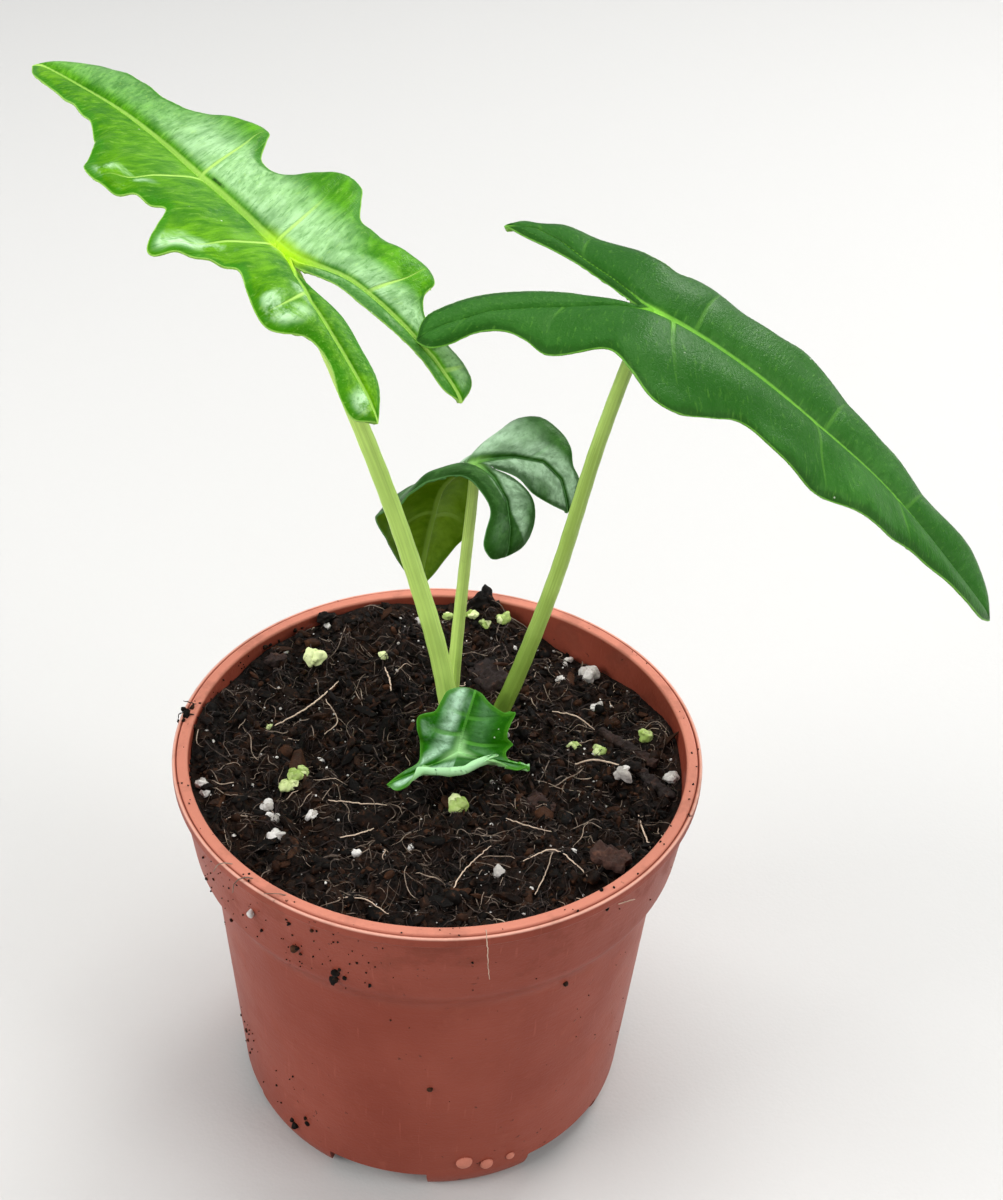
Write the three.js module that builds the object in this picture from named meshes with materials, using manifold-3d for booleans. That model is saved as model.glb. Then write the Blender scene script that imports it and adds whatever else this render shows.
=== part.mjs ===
// A young potted alocasia: a round nursery pot with soil, and a small rootstock from which four
// leaves rise, each a stalk and an arrow-shaped, lobed blade.
// Millimetres, +Z up. The origin is the centre of the pot's base, which stands on z = 0.
// The view the plant is posed for looks along +Y, with +X to the right.
import * as THREE from "three";
import { mergeVertices } from "three/addons/utils/BufferGeometryUtils.js";
import Module from "manifold-3d";

const wasm = await Module();
wasm.setup();

// Pot
const POT_HEIGHT = 100;
const RIM_RADIUS = 60;
const RIM_LIP_WIDTH = 3.4;
const COLLAR_HEIGHT = 23.2;
const COLLAR_RADIUS = 56.3;
const SHOULDER_HEIGHT = 5.2;
const BODY_TOP_RADIUS = 52.4;
const BODY_BOTTOM_RADIUS = 47.3;
const FOOT_RADIUS = 41.7;
const WALL = 1.3;
const BASE_DISC_RADIUS = 20;
const CHANNEL_HEIGHT = 6;
const NOTCH_COUNT = 6;
const NOTCH_WIDTH = 24;
const NOTCH_FIRST_ANGLE = 257;
const DRAIN_HOLE_RADIUS = 4;
const POT_SIDES = 48;

// Soil
const SOIL_LEVEL = 93;
const SOIL_CLEARANCE = 0.3;
const SOIL_RINGS = 9;
const SOIL_SIDES = 40;

// Rootstock, the short thick stem that the stalks grow from
const CROWN_X = 5.4;
const CROWN_Y = 11.2;
const CROWN_TOP = 96.4;
const CROWN_BOTTOM = 66;
const CROWN_RADIUS = 10.5;
const CROWN_SIDES = 18;

// Leaves
const BLADE_THICKNESS = 0.75;
const MIDRIB_DEPTH = 1.0;
const SIDE_RIB_DEPTH = 0.45;
const JOINT_GAP = 0.3;
const STALK_SIDES = 10;

// The pot's outer and inner walls, each a list of [radius, height].
const BODY_TOP = POT_HEIGHT - COLLAR_HEIGHT - SHOULDER_HEIGHT;
const OUTER_WALL = [
  [FOOT_RADIUS, 0],
  [BODY_BOTTOM_RADIUS - 1.6, 1.1],
  [BODY_BOTTOM_RADIUS, 4.2],
  [BODY_TOP_RADIUS, BODY_TOP],
  [COLLAR_RADIUS - 1.2, POT_HEIGHT - COLLAR_HEIGHT - 1.2],
  [COLLAR_RADIUS, POT_HEIGHT - COLLAR_HEIGHT + 1],
  [RIM_RADIUS - 1.4, POT_HEIGHT - 3.4],
  [RIM_RADIUS, POT_HEIGHT - 2.4],
];
const INNER_WALL = [
  [RIM_RADIUS - RIM_LIP_WIDTH, POT_HEIGHT - 0.5],
  [COLLAR_RADIUS - WALL, POT_HEIGHT - COLLAR_HEIGHT + 1.4],
  [BODY_TOP_RADIUS - WALL, BODY_TOP + 0.4],
  [BODY_BOTTOM_RADIUS - WALL + 0.2, CHANNEL_HEIGHT + WALL + 0.4],
  [BODY_BOTTOM_RADIUS - WALL, 4.6],
  [BODY_BOTTOM_RADIUS - WALL - 2.4, WALL],
  [FOOT_RADIUS - 3.1, WALL],
  [FOOT_RADIUS - 5.5, CHANNEL_HEIGHT + WALL],
  [BASE_DISC_RADIUS + 2, CHANNEL_HEIGHT + WALL],
  [BASE_DISC_RADIUS - 0.8, WALL],
];

function toSolid(geometry) {
  const bare = geometry.index ? geometry.toNonIndexed() : geometry.clone();
  for (const name of Object.keys(bare.attributes)) {
    if (name !== "position") bare.deleteAttribute(name);
  }
  const merged = mergeVertices(bare, 1e-4);
  const vertProperties = new Float32Array(merged.attributes.position.array);
  const triVerts = new Uint32Array(merged.index.array);
  return new wasm.Manifold(new wasm.Mesh({ numProp: 3, vertProperties, triVerts }));
}

function toGeometry(solid) {
  const mesh = solid.getMesh();
  const geometry = new THREE.BufferGeometry();
  const positions = new Float32Array(mesh.vertProperties);
  geometry.setAttribute("position", new THREE.BufferAttribute(positions, 3));
  geometry.setIndex(Array.from(mesh.triVerts));
  geometry.computeVertexNormals();
  return geometry;
}

function largestPiece(solid) {
  const pieces = solid.decompose();
  return pieces.reduce((best, piece) => (piece.volume() > best.volume() ? piece : best));
}

function latheSolid(profile, sides) {
  const points = profile.map(([radius, height]) => new THREE.Vector2(radius, height));
  return toSolid(new THREE.LatheGeometry(points, sides).rotateX(Math.PI / 2));
}

function onCircle(radius, degrees, z) {
  const angle = THREE.MathUtils.degToRad(degrees);
  return new THREE.Vector3(radius * Math.cos(angle), radius * Math.sin(angle), z);
}

function makePot() {
  const lip = [
    [RIM_RADIUS, POT_HEIGHT - 0.6],
    [RIM_RADIUS - 0.6, POT_HEIGHT],
    [RIM_RADIUS - RIM_LIP_WIDTH + 0.3, POT_HEIGHT],
  ];
  const underside = [
    [0, 0],
    [BASE_DISC_RADIUS, 0],
    [BASE_DISC_RADIUS + 2.8, CHANNEL_HEIGHT],
    [FOOT_RADIUS - 6.4, CHANNEL_HEIGHT],
    [FOOT_RADIUS - 4, 0],
  ];
  const profile = [...underside, ...OUTER_WALL, ...lip, ...INNER_WALL, [0, WALL]];
  let pot = latheSolid(profile, POT_SIDES);
  const outside = latheSolid([[0, 0], ...OUTER_WALL.slice(0, 4), [0, BODY_TOP]], POT_SIDES);
  for (let i = 0; i < NOTCH_COUNT; i += 1) {
    const degrees = NOTCH_FIRST_ANGLE + (i * 360) / NOTCH_COUNT;
    const turn = THREE.MathUtils.degToRad(degrees);
    const cover = new THREE.BoxGeometry(13.6, NOTCH_WIDTH + 2 * WALL, CHANNEL_HEIGHT + WALL - 0.4);
    const over = onCircle(FOOT_RADIUS - 2.9, degrees, (CHANNEL_HEIGHT + WALL + 0.4) / 2);
    cover.rotateZ(turn).translate(over.x, over.y, over.z);
    pot = pot.add(toSolid(cover).intersect(outside));
    const notch = new THREE.BoxGeometry(16, NOTCH_WIDTH, 2 * CHANNEL_HEIGHT);
    const middle = onCircle(FOOT_RADIUS, degrees, 0);
    notch.rotateZ(turn).translate(middle.x, middle.y, middle.z);
    pot = pot.subtract(toSolid(notch));
    const hole = new THREE.CylinderGeometry(DRAIN_HOLE_RADIUS, DRAIN_HOLE_RADIUS, 12, 10);
    const drain = onCircle((BASE_DISC_RADIUS + FOOT_RADIUS) / 2 - 1, degrees, 0);
    hole.rotateX(Math.PI / 2).translate(drain.x, drain.y, drain.z);
    pot = pot.subtract(toSolid(hole));
  }
  // Small round moulding pips low on the wall: [angle, height, radius].
  for (const [degrees, height, radius] of [
    [282.3, 10.6, 2],
    [288.9, 8.5, 1.6],
    [296.1, 8.9, 1.1],
  ]) {
    const pip = new THREE.SphereGeometry(radius, 8, 6).scale(1, 0.55, 1);
    const place = onCircle(BODY_BOTTOM_RADIUS + 0.5, degrees, height);
    pip.rotateZ(THREE.MathUtils.degToRad(degrees + 90)).translate(place.x, place.y, place.z);
    pot = pot.add(toSolid(pip));
  }
  return toGeometry(largestPiece(pot));
}

// Soft heaps and hollows of the soil's surface: [x, y, spread in x, spread in y, height].
const SOIL_HEAPS = [
  [6, 12, 13, 12, 2],
  [-20, 53, 30, 17, 5.6],
  [9, 56, 8, 9, 5],
  [-47, 5, 12, 15, 1.6],
  [40, 20, 12, 12, -1.6],
  [34, 45, 14, 12, -3.6],
  [54, 14, 8, 9, 2.4],
  [-24, -40, 14, 10, 1.2],
];

// Height of the soil's surface: heaped at the back left and round the stalks, low at the right,
// with small crumbs and hollows.
function soilHeight(x, y) {
  const edge = THREE.MathUtils.smoothstep(Math.hypot(x, y) / RIM_RADIUS, 0.78, 0.95);
  const crumbs = 0.9 * Math.sin(0.31 * x + 1.3) * Math.cos(0.27 * y - 0.4)
    + 0.5 * Math.sin(0.63 * x - 0.41 * y) * Math.sin(0.52 * y + 0.8);
  let height = SOIL_LEVEL + crumbs * (1 - edge);
  for (const [cx, cy, spreadX, spreadY, rise] of SOIL_HEAPS) {
    height += rise * Math.exp(-(((x - cx) / spreadX) ** 2) - ((y - cy) / spreadY) ** 2);
  }
  return height;
}

// Pellets in the soil and pieces of bark on it: [x, y, size] and [x, y, length, width, turn].
const PELLETS = [
  [-30, 45, 1], [-32, 33, 2.1], [35, 38, 2.6], [30, 44, 1.1], [28, 35, 1.2], [37, 25, 1.4],
  [42, -2, 2.1], [53.6, 0, 1.5], [-27, 1, 1], [-52, -13, 1.5], [-37, -18, 1.4], [-35.4, -20.6, 1.7],
  [-34, -26, 1.8], [-27, -19, 1.4], [15, -34, 1.1], [-0.6, 50, 1.1], [5.4, 50, 1.2],
  [9, 49, 1.3], [13, 51, 1.8], [-33, -9.6, 1.6], [-31, -6, 1.7], [5, -14, 2.2], [37, 8, 1.4],
  [48, 12, 1.9], [-40, 10, 1.3],
];
const BARK = [
  [44, 10, 18, 2.4, -43],
  [49, -2.4, 13, 3, -51],
  [10.4, 32, 10, 8, -60],
  [39, -29, 8.4, 6, -33],
  [23.8, -10.6, 7, 5, -46],
  [-41, 31, 5, 3, 20],
];

// The soil fills the pot down to its raised floor, a hair clear of the walls.
function makeSoil() {
  const floor = CHANNEL_HEIGHT + WALL + SOIL_CLEARANCE;
  const clear = ([radius, height]) => [radius - SOIL_CLEARANCE, height];
  const walls = INNER_WALL.slice(0, 4).map(clear).reverse();
  const top = POT_HEIGHT + 5;
  const brim = [walls.at(-1)[0], top];
  const inside = [[0, floor], [walls[0][0] - 0.8, floor], ...walls, brim, [0, top]];
  const positions = [0, 0, soilHeight(0, 0)];
  const index = [];
  const ring = (row, side) => 1 + row * SOIL_SIDES + (side % SOIL_SIDES);
  for (let row = 1; row <= SOIL_RINGS + 1; row += 1) {
    const radius = RIM_RADIUS * Math.min(1, row / SOIL_RINGS) ** 0.85;
    for (let side = 0; side < SOIL_SIDES; side += 1) {
      const turn = (2 * Math.PI * side) / SOIL_SIDES;
      const [x, y] = [radius * Math.cos(turn), radius * Math.sin(turn)];
      positions.push(x, y, row > SOIL_RINGS ? 0 : soilHeight(x, y));
    }
  }
  const last = positions.length / 3;
  positions.push(0, 0, 0);
  for (let side = 0; side < SOIL_SIDES; side += 1) {
    index.push(0, ring(0, side), ring(0, side + 1));
    for (let row = 0; row < SOIL_RINGS; row += 1) {
      const [a, b] = [ring(row, side), ring(row, side + 1)];
      const [c, d] = [ring(row + 1, side), ring(row + 1, side + 1)];
      index.push(a, c, d, a, d, b);
    }
    index.push(ring(SOIL_RINGS, side), last, ring(SOIL_RINGS, side + 1));
  }
  const geometry = new THREE.BufferGeometry();
  geometry.setAttribute("position", new THREE.Float32BufferAttribute(positions, 3));
  geometry.setIndex(index);
  let soil = toSolid(geometry);
  for (const [x, y, size] of PELLETS) {
    const pellet = new THREE.IcosahedronGeometry(size, 0).rotateZ(x).rotateX(y);
    pellet.translate(x, y, soilHeight(x, y) + 0.35 * size);
    soil = soil.add(toSolid(pellet));
  }
  for (const [x, y, length, width, degrees] of BARK) {
    const chip = new THREE.BoxGeometry(length, width, 3);
    chip.rotateX(0.12).rotateY(0.1).rotateZ(THREE.MathUtils.degToRad(degrees));
    chip.translate(x, y, soilHeight(x, y) + 0.4);
    soil = soil.add(toSolid(chip));
  }
  return soil.intersect(latheSolid(inside, POT_SIDES));
}

// The bent sheet that a blade lies on. u is the distance along the midrib from the stalk's
// joint, positive towards the tip and negative between the rear lobes. v is the distance from
// the midrib line, positive on the right when looking towards the tip from above.
class Sheet {
  constructor({ joint, back, front, across, fold }) {
    const points = [...back].reverse().concat([joint], front).map((p) => new THREE.Vector3(...p));
    const steps = 40;
    this.curve = new THREE.CatmullRomCurve3(points, false, "catmullrom", 0.5);
    this.points = this.curve.getPoints((points.length - 1) * steps);
    this.lengths = [0];
    for (let i = 1; i < this.points.length; i += 1) {
      this.lengths.push(this.lengths[i - 1] + this.points[i].distanceTo(this.points[i - 1]));
    }
    const atJoint = this.lengths[back.length * steps];
    this.lengths = this.lengths.map((length) => length - atJoint);
    this.low = this.lengths[0];
    this.high = this.lengths.at(-1);
    this.across = across;
    this.fold = fold;
  }

  spine(u) {
    const { points, lengths } = this;
    const last = lengths.length - 1;
    if (u <= lengths[0] || u >= lengths[last]) {
      const [end, next] = u <= lengths[0] ? [0, 1] : [last, last - 1];
      const away = points[end].clone().sub(points[next]).normalize();
      return points[end].clone().addScaledVector(away, Math.abs(u - lengths[end]));
    }
    let i = 1;
    while (lengths[i] < u) i += 1;
    const share = (u - lengths[i - 1]) / (lengths[i] - lengths[i - 1]);
    return points[i - 1].clone().lerp(points[i], share);
  }

  frame(u) {
    const ahead = this.spine(u + 1).sub(this.spine(u - 1)).normalize();
    const side = new THREE.Vector3(...[0, 1, 2].map((k) => interpolate(this.across, u, k + 1)));
    side.addScaledVector(ahead, -side.dot(ahead)).normalize();
    return [ahead, side, side.clone().cross(ahead)];
  }

  point(u, v) {
    const [, side, up] = this.frame(u);
    const fold = THREE.MathUtils.degToRad(interpolate(this.fold, u, 1));
    const reach = Math.abs(v);
    return this.spine(u)
      .addScaledVector(side, Math.sign(v) * reach * Math.cos(fold))
      .addScaledVector(up, reach * Math.sin(fold));
  }
}

function interpolate(table, x, column) {
  if (x <= table[0][0]) return table[0][column];
  for (let i = 1; i < table.length; i += 1) {
    if (x <= table[i][0]) {
      const share = (x - table[i - 1][0]) / (table[i][0] - table[i - 1][0]);
      return table[i - 1][column] + share * (table[i][column] - table[i - 1][column]);
    }
  }
  return table.at(-1)[column];
}

// The blade as one closed sheet. Each half is a strip from its rib line (the midrib, then the
// rear lobe's rib) out to the outer edge, and a strip from the rear rib in to the notch.
// An edge point is [u, v, u of the rib's foot, 1 where a side rib runs out to it].
function bladeGeometry(leaf, thickness = BLADE_THICKNESS) {
  const sheet = new Sheet(leaf);
  const vertices = [];
  const found = new Map();
  const faces = [];
  const halves = [leaf.right, leaf.left];
  const midribFeet = halves.flatMap((half) => half.edge.map((e) => e[2]).filter((u) => u >= 0));
  const vertexAt = (u, v, depth) => {
    const key = `${(u + 0).toFixed(2)},${(v + 0).toFixed(2)}`;
    if (!found.has(key)) {
      found.set(key, vertices.length);
      vertices.push({ point: sheet.point(u, v), depth, normal: new THREE.Vector3() });
    }
    return found.get(key);
  };
  for (const half of halves) {
    const rearFeet = [...half.edge, ...half.notch].map((e) => e[2]).filter((u) => u < 0);
    const feet = [...new Set([...midribFeet, 0, ...rearFeet])].sort((a, b) => b - a);
    const footV = (u) => (u >= 0 ? 0 : interpolate(half.rearRib, u, 1));
    const ribVertex = (u) => vertexAt(u, footV(u), MIDRIB_DEPTH * ribTaper(sheet, u));
    for (const [edge, inward] of [[half.edge, false], [half.notch, true]]) {
      const facesUp = (half === leaf.right) !== inward;
      const addFace = (a, b, c) => {
        if (a !== b && b !== c && a !== c) faces.push(facesUp ? [a, b, c] : [a, c, b]);
      };
      const shares = inward ? [1] : [0.14, 0.42, 0.72, 1];
      const columns = edge.map(([u, v, footU, rib]) => shares.map((share) => {
        const depth = rib && share < 1 ? SIDE_RIB_DEPTH * (1.1 - share) : 0;
        const fv = footV(footU);
        return vertexAt(footU + share * (u - footU), fv + share * (v - fv), depth);
      }));
      for (let i = 1; i < columns.length; i += 1) {
        const [before, after] = [columns[i - 1], columns[i]];
        const [from, to] = [edge[i - 1][2], edge[i][2]];
        const between = feet.filter((u) => u <= from && u >= to).map(ribVertex);
        for (let k = 1; k < between.length; k += 1) addFace(before[0], between[k], between[k - 1]);
        addFace(before[0], after[0], between.at(-1));
        for (let k = 1; k < shares.length; k += 1) {
          addFace(before[k - 1], before[k], after[k]);
          addFace(before[k - 1], after[k], after[k - 1]);
        }
      }
    }
  }
  return closeSheet(vertices, faces, thickness);
}

function ribTaper(sheet, u) {
  return u >= 0 ? 1 - 0.75 * (u / sheet.high) : 1 - 0.6 * Math.min(1, u / sheet.low);
}

// Gives a sheet of triangles an underside and a rim.
function closeSheet(vertices, faces, thickness) {
  for (const [a, b, c] of faces) {
    const ab = vertices[b].point.clone().sub(vertices[a].point);
    const normal = ab.cross(vertices[c].point.clone().sub(vertices[a].point));
    for (const corner of [a, b, c]) vertices[corner].normal.add(normal);
  }
  const positions = [];
  for (const { point } of vertices) positions.push(point.x, point.y, point.z);
  for (const { point, normal, depth } of vertices) {
    const under = point.clone().addScaledVector(normal.normalize(), -(thickness + depth));
    positions.push(under.x, under.y, under.z);
  }
  const count = vertices.length;
  const index = [];
  const borders = new Map();
  for (const [a, b, c] of faces) {
    index.push(a, b, c, a + count, c + count, b + count);
    for (const [from, to] of [[a, b], [b, c], [c, a]]) {
      if (borders.has(`${to},${from}`)) borders.delete(`${to},${from}`);
      else borders.set(`${from},${to}`, [from, to]);
    }
  }
  for (const [from, to] of borders.values()) {
    index.push(from, from + count, to + count, from, to + count, to);
  }
  const geometry = new THREE.BufferGeometry();
  geometry.setAttribute("position", new THREE.Float32BufferAttribute(positions, 3));
  geometry.setIndex(index);
  return geometry;
}

// A stalk: a round tube of changing radius along a smooth curve, closed at both ends.
function stalkGeometry({ path, radii }, grow = 0) {
  const curve = new THREE.CatmullRomCurve3(path.map((p) => new THREE.Vector3(...p)));
  const steps = path.length + 2;
  const frames = curve.computeFrenetFrames(steps, false);
  const positions = [];
  const index = [];
  for (let i = 0; i <= steps; i += 1) {
    const share = i / steps;
    const radius = grow + radii[0] + (radii[1] - radii[0]) * share ** 0.8;
    const middle = curve.getPointAt(share);
    if (i === 0) middle.addScaledVector(frames.tangents[0], -grow);
    for (let side = 0; side < STALK_SIDES; side += 1) {
      const turn = (2 * Math.PI * side) / STALK_SIDES;
      const rim = middle.clone()
        .addScaledVector(frames.normals[i], radius * Math.cos(turn))
        .addScaledVector(frames.binormals[i], radius * Math.sin(turn));
      positions.push(rim.x, rim.y, rim.z);
    }
  }
  const ring = (row, side) => row * STALK_SIDES + (side % STALK_SIDES);
  for (let side = 0; side < STALK_SIDES; side += 1) {
    for (let row = 0; row < steps; row += 1) {
      const [a, b] = [ring(row, side), ring(row, side + 1)];
      const [c, d] = [ring(row + 1, side), ring(row + 1, side + 1)];
      index.push(a, b, d, a, d, c);
    }
    if (side > 1) {
      index.push(0, ring(0, side), ring(0, side - 1));
      index.push(ring(steps, 0), ring(steps, side - 1), ring(steps, side));
    }
  }
  const geometry = new THREE.BufferGeometry();
  geometry.setAttribute("position", new THREE.Float32BufferAttribute(positions, 3));
  geometry.setIndex(index);
  return geometry;
}

const LOBED_LEAF = {
  joint: [-34.1, 20.5, 210.8],
  back: [[-20.6, 6.9, 208.4], [-3.9, -9.5, 194]],
  front: [[-50.7, 38, 215.7], [-71, 60, 220.4], [-87, 76.4, 221.4], [-99.3, 89.6, 221]],
  across: [[0, 0.72, 0.7, -0.05]],
  fold: [[-48, 0.3], [0, 10.6]],
  right: {
    rearRib: [[-48.5, 9.5], [-38, 9], [-30, 7.4], [-22, 5.4], [-14, 3.8], [-6, 1.8], [0, 0]],
    edge: [
      [96.4, 0, 96.4, 0], [91, 5.6, 88, 0], [81, 10, 77, 0], [69, 11.2, 66, 0], [58, 10.4, 56, 0],
      [51, 12.4, 49, 0], [46, 17.4, 43, 0], [41.4, 22, 37, 0], [37, 22.4, 30, 1], [33, 19, 26, 0],
      [28.6, 14.6, 22, 0], [23, 13.2, 17.6, 0], [20, 16, 13, 0], [18.6, 22, 9, 0],
      [14.4, 26.8, 3.6, 1], [9, 26.4, 0, 0], [4, 22.6, -4, 0], [-1, 18.8, -8, 0],
      [-7, 18.4, -12, 0], [-14, 20.8, -16, 0], [-20, 21.8, -20, 1], [-24, 19.6, -24.4, 0],
      [-25.6, 15.6, -28, 0], [-30, 13, -32, 0], [-36, 14.2, -36.4, 0], [-42, 15.4, -41.4, 1],
      [-46.4, 13.4, -45.6, 0], [-48.5, 9.5, -48.5, 0],
    ],
    notch: [
      [-4, -0.4, 0, 0], [-8, 0.2, -6, 0], [-14, 1.4, -14, 0], [-21, 2.4, -22, 0],
      [-29, 4.8, -30, 0], [-37, 6.8, -38, 0], [-45, 7.4, -45, 0], [-48.5, 9.5, -48.5, 0],
    ],
  },
  left: {
    rearRib: [[-45.5, -10.4], [-36, -9.6], [-26, -9], [-18, -8.2], [-10, -5], [-5, -2], [0, 0]],
    edge: [
      [96.4, 0, 96.4, 0], [88, -4.4, 85, 0], [76, -6.6, 72, 0], [64, -9, 61, 0], [55, -11, 52, 0],
      [48, -14.2, 45, 0], [43, -18.4, 40, 0], [39, -22.4, 35, 0], [34, -23.4, 28, 1],
      [27.4, -21, 23, 0], [21.6, -18.6, 18, 0], [18.4, -17.2, 14, 0], [14, -22, 10, 0],
      [9.4, -26.8, 3, 1], [5.4, -24, 0, 0], [0, -19, -4, 0], [-5, -16, -7.6, 0],
      [-11, -18, -11, 0], [-17.4, -20.2, -15.6, 1], [-22, -18, -20, 0], [-25, -14, -25, 0],
      [-31, -13, -31, 0], [-38, -15, -37, 0], [-43, -14.8, -42, 1], [-45.5, -10.4, -45.5, 0],
    ],
    notch: [
      [-4, -0.4, 0, 0], [-9, -2.8, -6, 0], [-15, -3.8, -12, 0], [-22, -3, -19, 0],
      [-30, -3.8, -28, 0], [-38, -5, -37, 0], [-45.5, -10.4, -45.5, 0],
    ],
  },
};

const LONG_LEAF = {
  joint: [39.9, 4, 210.5],
  back: [[22.4, 11.4, 210.6], [1.3, 19.6, 210.8]],
  front: [[57.5, 3.4, 200.4], [75.2, 2.8, 186.8], [93.9, 2.2, 170.1], [118.5, 1.4, 141.5]],
  across: [[-42, -0.46, -0.84, -0.27], [0, -0.12, -0.98, -0.16]],
  fold: [[-42, -7], [0, 0.6], [60, 2], [86, 10], [106, 12]],
  right: {
    rearRib: [[-43, 20.6], [-39, 16], [-31, 10.1], [-23, 7], [-15, 4.3], [-8, 1.9], [0, 0]],
    edge: [
      [105.6, 0, 105.6, 0], [101, 3.8, 98, 0], [92, 7, 88, 0], [82, 9, 77, 0],
      [72, 10.8, 66, 1], [64, 13.8, 58, 0], [55, 15.8, 49, 0], [47, 17.4, 41, 1],
      [38, 18.8, 33, 0], [30, 18.4, 25, 0], [22, 17.2, 16, 0], [16, 19.6, 10, 0],
      [9, 23.6, 4, 1], [4, 24.4, 0, 0], [0, 19.8, -4, 0], [-4, 15.8, -7.6, 0],
      [-9, 16.8, -11.4, 0], [-16, 17.5, -17, 1], [-22, 15.2, -21.6, 0], [-27, 14.4, -26, 0],
      [-32, 15.8, -30.4, 0], [-36, 19.5, -34.6, 1], [-39, 21.8, -38.6, 0], [-43, 20.6, -43, 0],
    ],
    notch: [
      [-4, -0.6, 0, 0], [-8, -0.9, -5, 0], [-14, -0.4, -12, 0], [-20, 0.5, -18, 0],
      [-27, 2.5, -25.5, 0], [-34, 5.6, -31.4, 0], [-39, 9.2, -36, 0], [-43.4, 14.4, -40, 0],
      [-43, 20.6, -43, 0],
    ],
  },
  left: {
    rearRib: [[-39.4, -16.7], [-32, -16.2], [-26, -13.2], [-15, -6.4], [-9, -3.6], [0, 0]],
    edge: [
      [105.6, 0, 105.6, 0], [103, -5, 99, 0], [96, -8.8, 91, 0], [86, -10.2, 80, 0],
      [76, -10.8, 70, 1], [66, -11.2, 60, 0], [58, -13, 52, 0], [51, -16, 44, 1],
      [44, -18.4, 38, 0], [36, -17.4, 31, 0], [28, -16, 23, 0], [22, -17, 16, 0],
      [16, -18.8, 9, 1], [9, -17, 3, 0], [1, -15, -4, 0], [-6, -15.4, -9.4, 0],
      [-13, -18.2, -15, 0], [-20, -19.7, -20, 1], [-28, -20.7, -25.6, 0], [-33, -20.3, -31, 1],
      [-37, -18.8, -36, 0], [-39.4, -16.7, -39.4, 0],
    ],
    notch: [
      [-4, -0.6, 0, 0], [-8, -2.4, -5.6, 0], [-14, -5.6, -12, 0], [-20, -9.2, -18.6, 0],
      [-27, -12, -26, 0], [-34, -14.4, -33, 0], [-39.4, -16.7, -39.4, 0],
    ],
  },
};

const FOLDED_LEAF = {
  joint: [5.2, 28, 158.1],
  back: [[11.1, 21.3, 155.1], [16.4, 15.3, 148.1], [19.7, 11.5, 139.1]],
  front: [[0.9, 32, 153], [-2.7, 35, 145.9], [-4.8, 36, 135.7], [-6.2, 35, 127.3], [-7.3, 33, 119.6]],
  across: [[0, 0.75, 0.66, 0.15]],
  fold: [[-30, 0], [0, 5], [43, 4]],
  right: {
    rearRib: [[-20, 13], [-13, 14.6], [-8, 13], [-4, 8], [0, 0]],
    edge: [
      [43.6, 0, 43.6, 0], [41, 4, 38, 0], [36, 9, 31, 0], [30, 12.4, 25, 1], [23, 13.6, 18, 0],
      [15, 14.6, 10, 0], [9, 16.6, 4, 1], [4, 18.8, 0.6, 0], [0, 20.4, -3, 0],
      [-4, 21.3, -6, 1], [-8, 20.6, -9, 0], [-11.4, 19, -12, 0], [-14.4, 19, -14.6, 1],
      [-17.6, 16.8, -17.6, 0], [-20, 13, -20, 0],
    ],
    notch: [
      [-4, 2.6, 0, 0], [-7, 6.8, -4, 0], [-11, 8.6, -8, 0], [-16, 9.4, -13, 0], [-20, 13, -20, 0],
    ],
  },
  left: {
    rearRib: [[-23.6, -5], [-18, -1.8], [-12, 0.6], [-6, 1], [0, 0]],
    edge: [
      [43.6, 0, 43.6, 0], [40.4, -3.4, 37, 0], [35, -8, 31, 0], [28, -12.8, 23, 1],
      [20, -16.4, 16, 0], [12, -17.4, 9, 1], [6, -15.6, 3, 0], [1.6, -10, 0, 0],
      [-2.4, -4.6, -4, 0], [-7, -3.6, -8, 0], [-12.4, -4, -12, 0], [-16, -7, -15, 1],
      [-19.6, -9.6, -18, 0], [-22.6, -8.8, -21.4, 0], [-23.6, -5, -23.6, 0],
    ],
    notch: [
      [-4, 2.6, 0, 0], [-8, 5, -6, 0], [-14, 6.4, -12, 0], [-19, 4.4, -18, 0],
      [-22.8, 0, -21.4, 0], [-23.6, -5, -23.6, 0],
    ],
  },
};

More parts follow.
